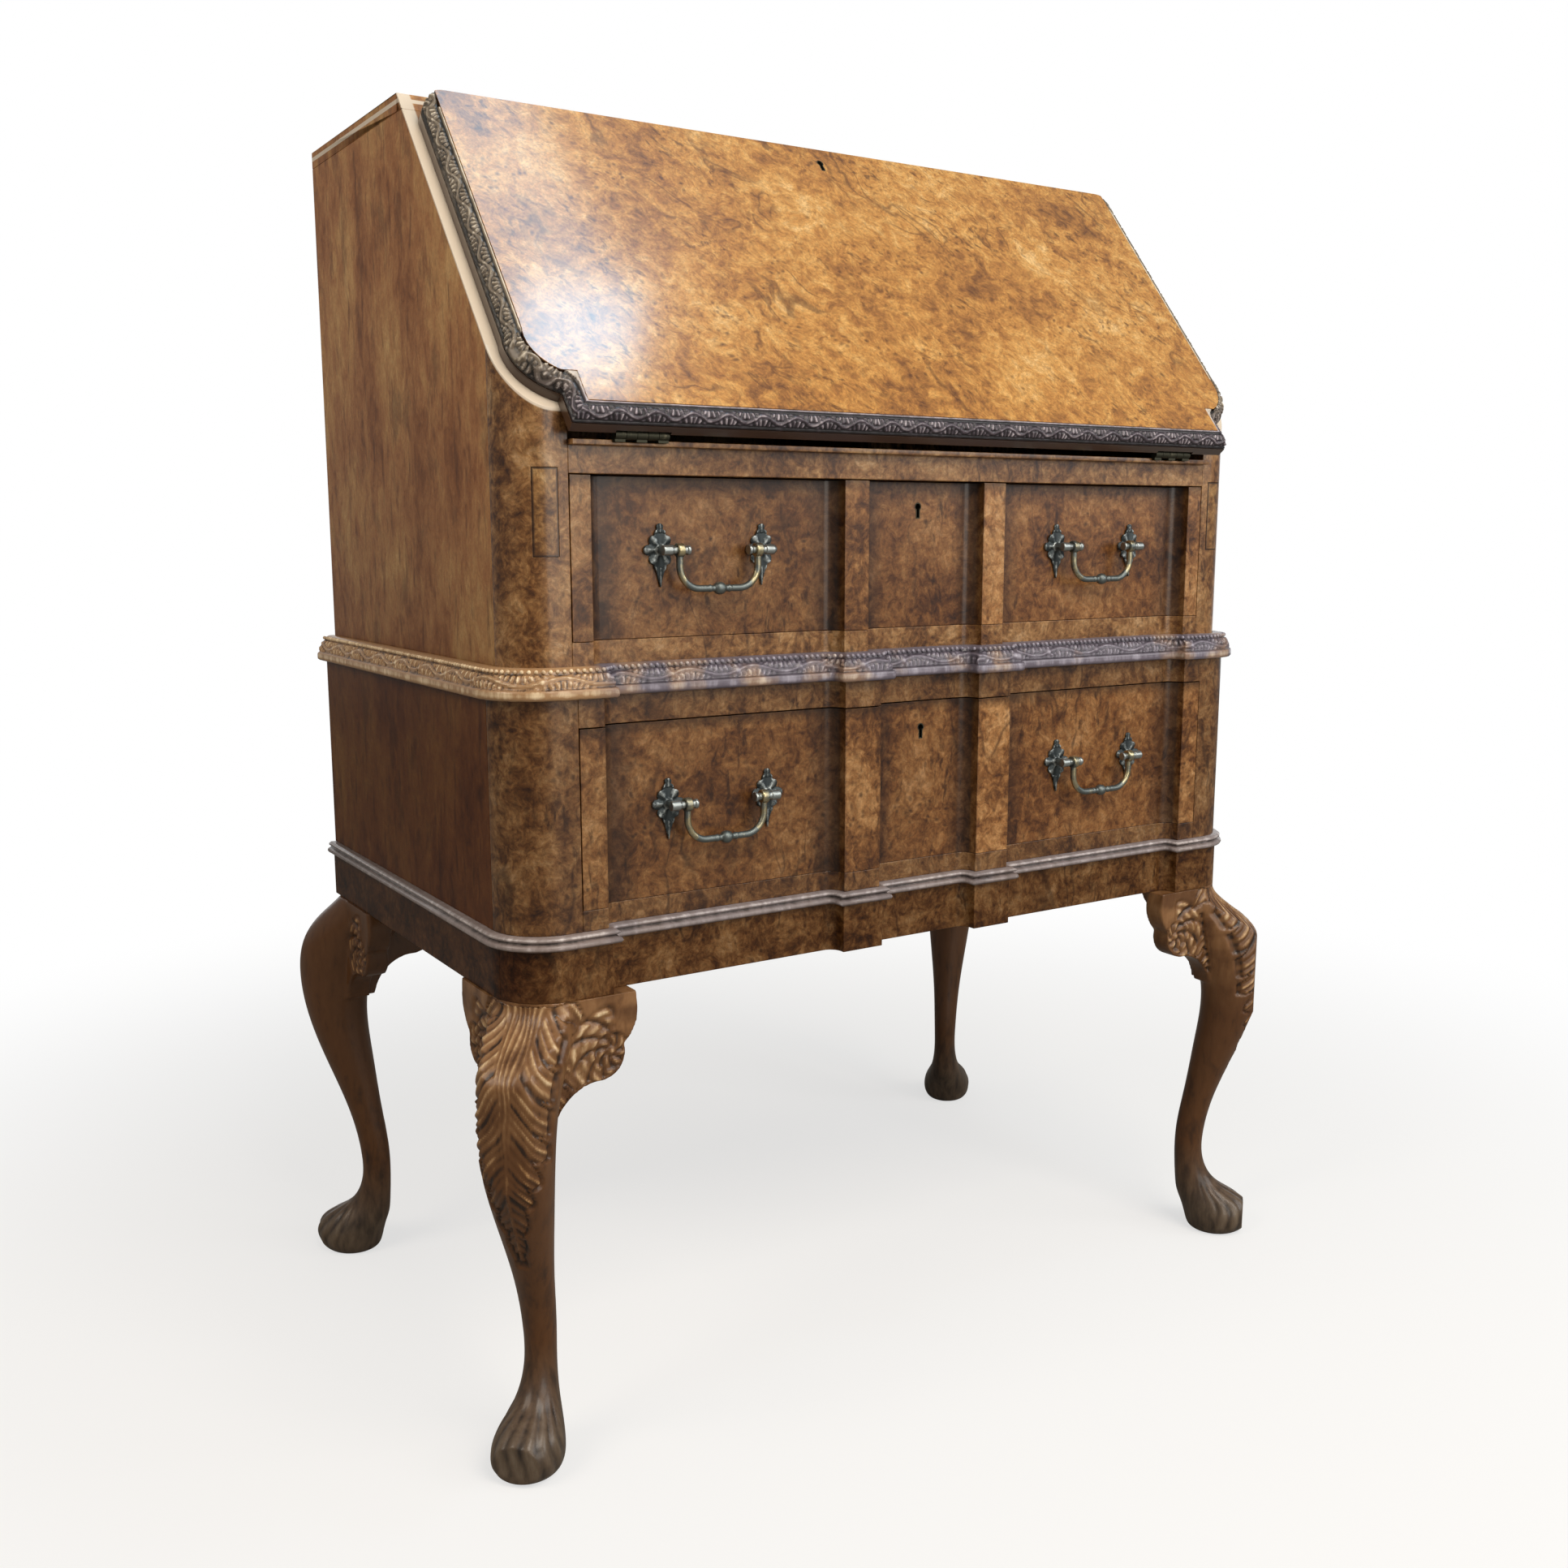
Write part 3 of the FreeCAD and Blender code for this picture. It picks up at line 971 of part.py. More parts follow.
def make_interior():
    """Pigeonholes over two small drawers, standing on the writing board."""
    front = PIGEONHOLE_FRONT
    top = BOARD_TOP + PIGEONHOLE_HEIGHT
    half_board = PIGEONHOLE_BOARD / 2
    shelf_z = BOARD_TOP + SMALL_DRAWER_HEIGHT
    boards = [box(-UPPER_INSIDE, UPPER_INSIDE, front, BACK_INNER, shelf_z,
                  shelf_z + PIGEONHOLE_BOARD),
              box(-UPPER_INSIDE, UPPER_INSIDE, front, BACK_INNER, top - PIGEONHOLE_BOARD,
                  top)]
    for side in (-1, 1):
        edge = side * PIGEONHOLE_PITCH
        boards.append(box(edge - half_board, edge + half_board, front, BACK_INNER,
                          BOARD_TOP, shelf_z))
    for index in range(1, PIGEONHOLE_COUNT):
        x = PIGEONHOLE_PITCH * index - UPPER_INSIDE
        boards.append(box(x - half_board, x + half_board, front, BACK_INNER,
                          shelf_z + PIGEONHOLE_BOARD, top - PIGEONHOLE_BOARD))
    save("pigeonholes", group(boards))
    x0 = PIGEONHOLE_PITCH + half_board + SMALL_DRAWER_GAP
    x1 = UPPER_INSIDE - SMALL_DRAWER_GAP
    z0 = BOARD_TOP + FIT_GAP
    z1 = shelf_z - SMALL_DRAWER_GAP
    y1 = front + SMALL_DRAWER_LENGTH
    wall = SMALL_DRAWER_WALL
    pieces = [box(x0, x1, front, front + wall, z0, z1),
              box(x0, x0 + wall, front + wall, y1, z0, z1),
              box(x1 - wall, x1, front + wall, y1, z0, z1),
              box(x0 + wall, x1 - wall, y1 - wall, y1, z0, z1),
              box(x0 + wall, x1 - wall, front + wall, y1 - wall, z0, z0 + wall)]
    knob_at = Vector((x0 + x1) / 2, front, (z0 + z1) / 2)
    towards = -Y_AXIS
    stem = rod(knob_at, towards, SMALL_KNOB_RADIUS / 2, SMALL_KNOB_PROJECTION / 2)
    head = Part.makeSphere(SMALL_KNOB_RADIUS,
                           knob_at + towards * (SMALL_KNOB_PROJECTION - SMALL_KNOB_RADIUS))
    pieces.append(stem.fuse(head).removeSplitter())
    save("small_drawer_right", group(pieces))
    save("small_drawer_left", group([mirrored(piece) for piece in pieces]))


def write_parts():
    """Centre the bureau on its footprint and write one file for each node."""
    whole = Part.makeCompound(list(SHAPES.values())).BoundBox
    shift = Vector(-(whole.XMin + whole.XMax) / 2, -(whole.YMin + whole.YMax) / 2,
                   -whole.ZMin)
    print("shift to the footprint's middle:", shift)
    print("size:", whole.XLength, whole.YLength, whole.ZLength)
    print("hinge pin:", PIN_Y + shift.y, PIN_Z + shift.z)
    for name, shape in sorted(SHAPES.items()):
        placed = shape.copy()
        placed.translate(shift)
        placed.exportStep("parts/" + name + ".step")
        state = "ok" if placed.isValid() else "INVALID"
        print(name, len(placed.Solids), round(placed.Volume), state)


make_stand()
make_lower_case()
make_upper_case()
make_lopers()
make_fall()
make_hinges()
make_locks()
make_drawer("upper_drawer", UPPER_PLAN, UPPER_DRAWER_BOTTOM, UPPER_DRAWER_TOP,
            UPPER_KEYHOLE_HEIGHT)
make_drawer("lower_drawer", LOWER_PLAN, LOWER_DRAWER_BOTTOM, LOWER_DRAWER_TOP,
            LOWER_KEYHOLE_HEIGHT)
make_handles()
make_interior()
write_parts()
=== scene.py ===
# %% [markdown]
# # A walnut writing bureau on cabriole legs
# The cases, drawers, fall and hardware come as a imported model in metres, front towards -Y and +Z
# up. This lesson dresses that model: it eases the edges, carves the legs and mouldings, casts the
# handles and gives each surface the finish of the real bureau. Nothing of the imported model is
# moved. A piece with more detail takes the place of a node by name.

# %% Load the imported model
import json
import math

import bmesh
import bpy
import numpy as np
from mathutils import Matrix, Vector


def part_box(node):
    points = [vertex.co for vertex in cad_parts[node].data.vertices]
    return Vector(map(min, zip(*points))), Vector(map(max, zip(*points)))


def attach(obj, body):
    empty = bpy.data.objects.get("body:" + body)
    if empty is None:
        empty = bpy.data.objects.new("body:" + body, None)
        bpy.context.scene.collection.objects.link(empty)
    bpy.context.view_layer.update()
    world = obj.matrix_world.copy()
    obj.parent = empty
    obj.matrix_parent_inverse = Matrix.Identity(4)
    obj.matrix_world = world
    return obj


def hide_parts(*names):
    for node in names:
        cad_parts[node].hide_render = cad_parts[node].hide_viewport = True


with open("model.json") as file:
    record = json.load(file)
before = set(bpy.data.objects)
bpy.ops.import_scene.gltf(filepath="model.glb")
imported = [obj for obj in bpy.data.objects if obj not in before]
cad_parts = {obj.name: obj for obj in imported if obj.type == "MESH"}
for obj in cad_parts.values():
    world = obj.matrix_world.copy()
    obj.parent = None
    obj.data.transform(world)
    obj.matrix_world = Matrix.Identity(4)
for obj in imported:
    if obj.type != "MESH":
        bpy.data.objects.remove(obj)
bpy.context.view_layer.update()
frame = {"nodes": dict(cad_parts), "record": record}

MM = 0.001
SCENE = bpy.context.scene

# %% [markdown]
# ## The camera
# The bureau is seen from its front left, from a little above the middle of the fall. A 35 mm lens
# about a metre and a half away gives the strong perspective of a near view.

# %% Place the camera
lens = bpy.data.cameras.new("view")
lens.lens = 35.04
lens.sensor_width = 36.0
camera = bpy.data.objects.new("view", lens)
camera.location = (-0.7972, -1.2282, 0.7133)
camera.rotation_euler = (math.radians(80.485), 0.0, math.radians(-32.77))
SCENE.collection.objects.link(camera)
SCENE.camera = camera
print("camera at", tuple(camera.location))

# %% [markdown]
# ## Short names for common nodes
# Every finish below is a small tree of nodes. One function adds a node, and a few short ones
# stand for the nodes that come again and again. Colours are given as hex codes and bent to linear
# light, and each pattern's size is given in real millimetres.

# %% Colours from hex
def linear(code):
    """Linear colour of an sRGB hex code."""
    channels = [int(code[i:i + 2], 16) / 255 for i in (1, 3, 5)]
    bent = [c / 12.92 if c <= 0.04045 else ((c + 0.055) / 1.055) ** 2.4 for c in channels]
    return (*bent, 1.0)


print("walnut brown:", [round(v, 3) for v in linear("#6e4a2e")])

# %% One function that adds a node
def add(tree, kind, inputs=None, out=0, **settings):
    """Add a node, give it its settings and links, and return one of its outputs."""
    made = tree.nodes.new(kind)
    for name, value in settings.items():
        setattr(made, name, value)
    for socket, value in (inputs or {}).items():
        if isinstance(value, bpy.types.NodeSocket):
            tree.links.new(value, made.inputs[socket])
        else:
            made.inputs[socket].default_value = value
    return made.outputs[out] if len(made.outputs) else made


print("node helper ready")

# %% Numbers
def maths(tree, operation, *values):
    """A sum on up to three numbers."""
    return add(tree, "ShaderNodeMath", dict(enumerate(values)), operation=operation)


def fit(tree, value, low, high, start=0.0, end=1.0, **settings):
    """A value that runs from start to end while another goes from low to high."""
    return add(tree, "ShaderNodeMapRange", {0: value, 1: low, 2: high, 3: start, 4: end},
               **settings)


def times(tree, first, second):
    """One number times another."""
    return maths(tree, "MULTIPLY", first, second)


def axes(tree, place):
    """The X, Y and Z of a place."""
    return add(tree, "ShaderNodeSeparateXYZ", {0: place}).node.outputs


def scaled(tree, vector, factor):
    """A vector or a colour times a number."""
    return add(tree, "ShaderNodeVectorMath", {0: vector, 3: factor}, operation="SCALE")


print("number helpers ready")

# %% Patterns and colours
def per_mm(size):
    """Texture scale for a pattern of this size in millimetres."""
    return 1.0 / (size * MM)


def noise(tree, place, size, detail, roughness=0.5, distortion=0.0, out=0):
    """Soft noise of a size in millimetres."""
    return add(tree, "ShaderNodeTexNoise", {
        "Vector": place, "Scale": per_mm(size), "Detail": detail, "Roughness": roughness,
        "Distortion": distortion}, out=out)


def stretched(tree, place, share, turn=(0, 0, 0)):
    """Coordinates turned and scaled along Z; a share under 1 draws a pattern out."""
    return add(tree, "ShaderNodeMapping", {"Vector": place, "Rotation": turn,
                                           "Scale": (1.0, 1.0, share)})


def mix(tree, share, first, second, **settings):
    """A colour between two, each given as hex or as a socket."""
    first, second = (linear(c) if isinstance(c, str) else c for c in (first, second))
    return add(tree, "ShaderNodeMix", {0: share, 6: first, 7: second}, out=2,
               data_type="RGBA", **settings)


def ramp(tree, value, stops):
    """Colours along a value, as (position, hex)."""
    made = add(tree, "ShaderNodeValToRGB", {0: value})
    band = made.node.color_ramp
    while len(band.elements) < len(stops):
        band.elements.new(0.5)
    for element, (position, code) in zip(band.elements, stops):
        element.position = position
        element.color = linear(code)
    return made


print("one cloud in 90 mm gives scale", round(per_mm(90), 1))

# %% [markdown]
# ## Floor, backdrop and lamps
# A pale floor keeps the shadow of the legs. The backdrop is white only for what the camera and
# polished surfaces see, so it lights the wood no more than a plain room would. Two lamps overhead
# give the sheen on the left of the sloping fall, a bright core and a wider haze.

# %% White backdrop and dim room
BACKDROP_HEADING = (0.541, 0.841, 0.0)
BACKDROP_EDGE = (0.74, 0.82)
world = bpy.data.worlds.new("studio")
SCENE.world = world
world.use_nodes = True
sky = world.node_tree
sky.nodes.clear()
rays = add(sky, "ShaderNodeLightPath").node.outputs
towards = add(sky, "ShaderNodeTexCoord")
facing = add(sky, "ShaderNodeVectorMath", {0: towards, 1: BACKDROP_HEADING}, out=1,
             operation="DOT_PRODUCT")
mirror = maths(sky, "MAXIMUM", rays["Is Glossy Ray"], rays["Is Transmission Ray"])
mirror = times(sky, mirror, fit(sky, facing, *BACKDROP_EDGE))
seen = maths(sky, "MAXIMUM", rays["Is Camera Ray"], mirror)
room = add(sky, "ShaderNodeBackground", {0: linear("#f2f1ee"), 1: 0.30})
white = add(sky, "ShaderNodeBackground", {0: linear("#ffffff"), 1: 1.0})
both = add(sky, "ShaderNodeMixShader", {0: seen, 1: room, 2: white})
add(sky, "ShaderNodeOutputWorld", {0: both})
print("backdrop heading:", BACKDROP_HEADING)


# %% Lamps
def lamp(name, place, target, width, height, power, colour="#ffffff", turn=None):
    """A soft rectangular lamp aimed at a point, or straight down and turned by an angle."""
    light = bpy.data.lights.new(name, "AREA")
    light.shape = "RECTANGLE"
    light.size, light.size_y = width, height
    light.energy = power
    light.color = linear(colour)[:3]
    made = bpy.data.objects.new(name, light)
    made.location = place
    if turn is None:
        aim = Vector(target) - Vector(place)
        made.rotation_euler = aim.to_track_quat("-Z", "Y").to_euler()
    else:
        made.rotation_euler = (0.0, 0.0, math.radians(turn))
    SCENE.collection.objects.link(made)


lamp("window_core", (0.52, -0.37, 2.6), None, 0.26, 0.22, 2.1, "#c0e6ff", turn=0)
lamp("window_haze", (0.36, -0.16, 2.62), None, 0.30, 0.66, 3.4, "#b8def8", turn=34)
lamp("front_high_softbox", (0.1, -1.9, 2.5), (0.0, 0.0, 0.75), 1.6, 1.2, 46, "#fff6ea")
lamp("front_low_softbox", (0.3, -2.8, 1.0), (0.0, 0.0, 0.55), 1.5, 1.2, 18, "#fff8ef")
lamp("left_softbox", (-2.4, -0.3, 2.2), (0.0, 0.0, 0.7), 1.4, 1.4, 28, "#fff4e6")
lamp("right_fill", (2.0, -2.2, 1.6), (0.1, 0.0, 0.6), 1.4, 1.4, 24)


# %% Floor that fades into the backdrop
def blank(name):
    """A new material with an empty tree, and object coordinates in it."""
    material = bpy.data.materials.new(name)
    material.use_nodes = True
    tree = material.node_tree
    tree.nodes.clear()
    return material, tree, add(tree, "ShaderNodeTexCoord", out=3)


FADE_START, FADE_END = 0.50, 1.6
floor_mesh = bpy.data.meshes.new("floor")
floor_mesh.from_pydata([(-6, -6, 0), (6, -6, 0), (6, 6, 0), (-6, 6, 0)], [], [(0, 1, 2, 3)])
floor = bpy.data.objects.new("floor", floor_mesh)
SCENE.collection.objects.link(floor)
pale, tree, place = blank("pale_matt_floor")
apart = add(tree, "ShaderNodeVectorMath", {0: place}, out=1, operation="LENGTH")
seen = add(tree, "ShaderNodeLightPath").node.outputs["Is Camera Ray"]
fade = fit(tree, apart, FADE_START, FADE_END, 0.64, 1.0, interpolation_type="SMOOTHSTEP")
fade = times(tree, fade, seen)
matt = add(tree, "ShaderNodeBsdfDiffuse", {0: mix(tree, seen, "#97948f", "#e8e6e2")})
glow = add(tree, "ShaderNodeEmission", {0: linear("#ffffff"), 1: 1.0})
both = add(tree, "ShaderNodeMixShader", {0: fade, 1: matt, 2: glow})
add(tree, "ShaderNodeOutputMaterial", {0: both})
floor_mesh.materials.append(pale)
SCENE.view_settings.view_transform = "Standard"
print("floor:", floor.name)

# %% [markdown]
# ## Burr walnut
# Burr walnut is sliced from the knotty growths of the trunk. It has no straight grain: golden and
# brown patches a few centimetres wide run into each other, with curls of about a centimetre,
# clusters of pin knots, short dark flecks and a few thin dark rings. It was French polished,
# which gives a thin clear coat. A soft noise pushes the coordinates about by up to 9 mm, so that
# no edge looks computed. Real pores are under half a millimetre wide. They are drawn at about 3
# mm, as finer ones would not show.

# %% Start a finish
def finish(name):
    """A new material: its tree, its shader and the object coordinates."""
    material, tree, place = blank(name)
    surface = add(tree, "ShaderNodeBsdfPrincipled")
    add(tree, "ShaderNodeOutputMaterial", {"Surface": surface})
    return material, tree, surface.node, place


def paint(shader, colour):
    """Give the surface its colour."""
    shader.id_data.links.new(colour, shader.inputs["Base Color"])


def roughen(shader, height, strength, depth=0.2):
    """Let a pattern stand out by a depth in millimetres."""
    tree = shader.id_data
    bump = add(tree, "ShaderNodeBump", {"Strength": strength, "Distance": depth * MM,
                                        "Height": height})
    tree.links.new(bump, shader.inputs["Normal"])


def polish(shader, roughness, coat):
    """French polish: a thin clear coat over the wood, at the constants of shellac."""
    shader.inputs["IOR"].default_value = 1.5
    shader.inputs["Specular IOR Level"].default_value = 0.3
    shader.inputs["Roughness"].default_value = roughness
    shader.inputs["Coat Weight"].default_value = coat
    shader.inputs["Coat Roughness"].default_value = 0.18
    shader.inputs["Coat IOR"].default_value = 1.45


def warped(tree, place, spacing, amount):
    """Coordinates pushed about by a soft noise, in millimetres."""
    drift = noise(tree, place, spacing, 2.0, out=1)
    centred = add(tree, "ShaderNodeVectorMath", {0: drift, 1: (0.5, 0.5, 0.5)},
                  operation="SUBTRACT")
    return add(tree, "ShaderNodeVectorMath", {0: place, 1: scaled(tree, centred, amount * MM)},
               operation="ADD")


print("wood helpers ready")

# %% Burr walnut veneer
def burr(name, stops, knot, cloud_mm, curl_mm, roughness, coat, turn=(0, 0, 0)):
    """Burr veneer: broad clouds, curls, pin knots, short dark flecks and thin dark rings."""
    material, tree, shader, place = finish(name)
    laid = stretched(tree, place, 1.0, turn)
    flow = warped(tree, laid, 40, 18)
    cloud = noise(tree, flow, cloud_mm, 4.0, 0.6)
    curl = noise(tree, flow, curl_mm, 5.0, 0.66, 0.5)
    wood = ramp(tree, add(tree, "ShaderNodeMix", {0: 0.52, 2: cloud, 3: curl}), stops)
    eyes = add(tree, "ShaderNodeTexVoronoi", {"Vector": flow, "Scale": per_mm(7.5)})
    clusters = fit(tree, noise(tree, laid, 42, 3.0), 0.46, 0.62)
    pins = times(tree, fit(tree, eyes, 0.10, 0.38, 1.0, 0.0), clusters)
    tilted = stretched(tree, flow, 0.30, (0.0, 0.9, 0.0))
    fleck = fit(tree, noise(tree, tilted, 6.5, 4.0, 0.6), 0.55, 0.66)
    patch = fit(tree, noise(tree, laid, 70, 2.0), 0.44, 0.60, 0.22)
    fleck = times(tree, fleck, patch)
    ring = maths(tree, "SUBTRACT", noise(tree, tilted, 44, 2.0, distortion=0.9), 0.55)
    ring = fit(tree, maths(tree, "ABSOLUTE", ring), 0.004, 0.030, 0.8, 0.0)
    rare = fit(tree, noise(tree, place, 85, 1.0), 0.52, 0.60)
    fleck = maths(tree, "MAXIMUM", fleck, times(tree, ring, rare))
    marks = times(tree, maths(tree, "MAXIMUM", pins, fleck), 0.72)
    wood = mix(tree, marks, wood, knot)
    pores = noise(tree, flow, 2.6, 3.0, 0.7)
    wood = scaled(tree, wood, fit(tree, pores, 0.34, 0.64, 0.66, 1.12))
    roughen(shader, pores, 0.10)
    polish(shader, roughness, coat)
    return material, tree, shader, wood, place


# The fall slopes by SLOPE from upright when it is shut. PIN is Y and Z of its hinge pins in
# metres, and FALL_FRONT is how far its face lies above them in millimetres.
SLOPE = math.radians(38.7)
PIN = (-0.221, 0.77946)
FALL_FRONT = 23.46


def depth_in_slope(tree, place):
    """Height above the plane of the fall's hinge pins, as the fall slopes when shut."""
    sine, cosine = math.sin(SLOPE), math.cos(SLOPE)
    _, y, z = axes(tree, place)
    away = maths(tree, "MULTIPLY_ADD", y, -cosine, PIN[0] * cosine)
    depth = maths(tree, "MULTIPLY_ADD", z, sine, away)
    return maths(tree, "SUBTRACT", depth, PIN[1] * sine)


GOLD_STOPS = [(0.34, "#67401f"), (0.43, "#98652f"), (0.50, "#b57f3d"), (0.57, "#c89651"),
              (0.67, "#dbb377")]
burr_fall, tree, shader, wood, place = burr("burr_walnut_fall", GOLD_STOPS, "#4a2710", 95, 13,
                                            0.3, 0.9, turn=(0, 0.6, 0))
veneered = fit(tree, depth_in_slope(tree, place), (FALL_FRONT - 1.0) * MM,
               (FALL_FRONT - 0.4) * MM)
paint(shader, mix(tree, veneered, "#3d2a1f", wood))
shader.inputs["Coat Roughness"].default_value = 0.13
print("finish:", burr_fall.name)

# %% [markdown]
# ## Veneered drawer fronts and rails
# The front veneers are the same burr, but redder and darker, with painted shade in the coves and
# along the borders of each sunk panel and a painted shadow under the rail. The shade follows the
# plan
# of the front: a ramp runs over the distance from the middle, the same on both sides.

# %% Shade across the front
WALNUT = [(0.35, "#412413"), (0.43, "#704824"), (0.50, "#966a3f"), (0.57, "#b28758"),
          (0.66, "#cfa87d")]
KNOT = "#331808"
FRONT_REACH = 380.0  # half the width that the ramp covers, in mm


def tinted(tree, wood, tone, amount=1.0):
    """A wood colour multiplied by a tone, given as hex or as a colour socket."""
    return mix(tree, amount, wood, tone, blend_type="MULTIPLY")


def shaded_front(name, node, pilaster, block):
    """Front veneer with painted shade in the coves beside a pilaster and a block, and a painted
    shadow under the rail.
    """
    material, tree, shader, wood, place = burr(name, WALNUT, KNOT, 60, 9, 0.38, 0.3)
    x, _, z = axes(tree, place)
    across = maths(tree, "DIVIDE", maths(tree, "ABSOLUTE", x), FRONT_REACH * MM)
    inner, outer = pilaster
    field, haze, cove, raised = "#c0b09b", "#85766e", "#635a59", "#efe8dc"
    tones = [(0, field), (inner - 24, field), (inner - 12, haze), (inner - 1, cove),
             (inner + 1, raised), (outer - 1, raised), (outer + 1, cove), (outer + 14, haze),
             (outer + 30, field), (block - 34, field), (block - 16, haze), (block - 1, cove),
             (block + 1, "#dcd4c8")]
    tone = ramp(tree, across, [(at / FRONT_REACH, code) for at, code in tones])
    wood = tinted(tree, wood, tone, 0.95)
    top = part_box(node)[1].z
    # painted shadow under the rail: the top 10 mm of the front are darker
    under = fit(tree, z, top - 10 * MM, top - MM, 1.0, 0.4)
    # painted light: the left half is painted darker and the right half lighter
    worn = fit(tree, x, -0.10, 0.10, 0.87, 1.10)
    paint(shader, scaled(tree, wood, times(tree, under, worn)))
    return material


upper_front = shaded_front("burr_walnut_front_upper", "upper_drawer_front", (60, 84), 308)
lower_front = shaded_front("burr_walnut_front_lower", "lower_drawer_front", (52, 88), 304)
print("finishes:", upper_front.name, lower_front.name)

# %% [markdown]
# ## Stiles, rails and case sides
# Rails, aprons and rounded stiles carry the same burr without the painted shade of the coves. The
# lower case and the aprons are painted darker, as painted shade lower down. The sides are plainer
# walnut: upright bands, short dark brush-like streaks and a few smudges. Stretching the noise
# along
# Z draws the upright figure. The sloping edge of the upper case and the rim of its top carry a
# cream painted highlight.

# %% Stiles and rails
# The cream on the case's sloping edge and on the rim of the top is a painted highlight.
CASE_SLOPE_DEPTH = 3.16 * MM  # of the case's sloping edge above the hinge pins
TOP_RIM = (1.0398, 0.0017)  # height of the painted line on the top, and half its width
STILE_EDGE, SIDE_EDGE = 0.320, 0.360  # how far off the middle the paint starts
LEFT_TURN = (-0.374, -0.345)  # X where the apron's corner turns to the left side


def painted_edge_highlight(tree, place, wood, least):
    """Cream painted highlight on the case's sloping edge, from a distance off the middle, and on
    the top's rim.
    """
    x, _, z = axes(tree, place)
    edge = fit(tree, depth_in_slope(tree, place), CASE_SLOPE_DEPTH - 1.6 * MM,
               CASE_SLOPE_DEPTH - 0.9 * MM)
    outer = fit(tree, maths(tree, "ABSOLUTE", x), least, least + 1.2 * MM)
    edge = times(tree, edge, outer)
    edge = maths(tree, "MAXIMUM", edge, maths(tree, "COMPARE", z, *TOP_RIM))
    return mix(tree, edge, wood, "#d3c4b0")


def rail_walnut(name, tone, side_tone=None, edged=False):
    """Burr veneer in one tone, with another tone where it turns to the left side."""
    material, tree, shader, wood, place = burr(name, WALNUT, KNOT, 34, 8, 0.38, 0.45)
    wood = tinted(tree, wood, tone)
    if side_tone:
        turned = fit(tree, axes(tree, place)[0], *LEFT_TURN, 1.0, 0.0)
        wood = tinted(tree, wood, side_tone, turned)
        shader.inputs["Specular IOR Level"].default_value = 0.15
        shader.inputs["Coat Weight"].default_value = 0.1
    if edged:
        wood = painted_edge_highlight(tree, place, wood, STILE_EDGE)
    paint(shader, wood)
    return material


# Painted shade: the lower stiles and the apron are tinted darker than the upper stiles, and the
# apron darker again where it turns to the left side.
upper_stile = rail_walnut("burr_walnut_stile_upper", "#dad7cf", edged=True)
lower_stile = rail_walnut("burr_walnut_stile_lower", "#b8b2aa")
dark_apron = rail_walnut("burr_walnut_apron", "#aba49c", "#b09c90")
print("finishes:", upper_stile.name, lower_stile.name, dark_apron.name)

# %% Joint line around the loper ends
# Dirt and rubbed corners draw a dark line around each loper's end, on its first 9 mm only.
loper_end, tree, shader, wood, place = burr("burr_walnut_loper_end", WALNUT, KNOT, 34, 8,
                                            0.38, 0.45)
low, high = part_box("loper_right")
x, y, z = axes(tree, place)
rims = []
for value, start, end in ((maths(tree, "ABSOLUTE", x), low.x, high.x), (z, low.z, high.z)):
    half = (end - start) / 2
    away = maths(tree, "ABSOLUTE", maths(tree, "SUBTRACT", value, (start + end) / 2))
    rims.append(fit(tree, away, half - 1.5 * MM, half - 0.6 * MM, 0.0, 0.85))
first = fit(tree, y, low.y + 8 * MM, low.y + 9 * MM, 1.0, 0.0)
line = times(tree, maths(tree, "MAXIMUM", *rims), first)
paint(shader, mix(tree, line, tinted(tree, wood, "#dedfd2"), "#2a180c"))
print("finish:", loper_end.name, [round(v, 4) for v in (*low, *high)])

# %% Upright walnut
def upright(name, stops, knot, band_mm, streak_mm, roughness, coat, smudge=0.0):
    """Walnut with upright figure: bands, short streaks, smudges and fine pores."""
    material, tree, shader, place = finish(name)
    flow = warped(tree, place, 60, 16)
    tall = stretched(tree, flow, 0.5)
    band = noise(tree, tall, band_mm, 4.0, 0.6)
    fine = noise(tree, tall, streak_mm, 5.0, 0.65, 0.8)
    wood = ramp(tree, add(tree, "ShaderNodeMix", {0: 0.36, 2: band, 3: fine}), stops)
    longer = stretched(tree, flow, 0.16)
    streak = fit(tree, noise(tree, longer, 7.0, 2.0), 0.58, 0.72, 0.0, 0.5)
    stain = fit(tree, noise(tree, tall, 26, 4.0, 0.6), 0.56, 0.66, 0.0, smudge)
    wood = mix(tree, maths(tree, "MAXIMUM", streak, stain), wood, knot)
    pores = noise(tree, flow, 3.0, 4.0, 0.7)
    wood = scaled(tree, wood, fit(tree, pores, 0.34, 0.64, 0.82, 1.08))
    roughen(shader, pores, 0.15)
    polish(shader, roughness, coat)
    return material, tree, shader, wood, place


# Painted shade on the side: darker downwards within the upper case, dull on the lower case,
# lighter in front.
SIDE_STOPS = [(0.33, "#63391b"), (0.42, "#85532b"), (0.50, "#9c6a3e"), (0.58, "#ac7f4d"),
              (0.68, "#c09963")]
UPPER_CASE, CASE_JOINT, FRONT_EDGE = (0.62, 0.92), (0.60, 0.62), (-0.17, -0.02)
case_side, tree, shader, wood, place = upright("figured_walnut_side", SIDE_STOPS, "#46250f",
                                               70, 10, 0.42, 0.05, smudge=0.42)
shader.inputs["Specular IOR Level"].default_value = 0.15
_, y, z = axes(tree, place)
wood = scaled(tree, wood, fit(tree, z, *UPPER_CASE, 0.74, 1.05))
wood = tinted(tree, wood, "#aa957c", fit(tree, z, *CASE_JOINT, 1.0, 0.0))
wood = scaled(tree, wood, fit(tree, y, *FRONT_EDGE, 1.16, 1.0))
paint(shader, painted_edge_highlight(tree, place, wood, SIDE_EDGE))

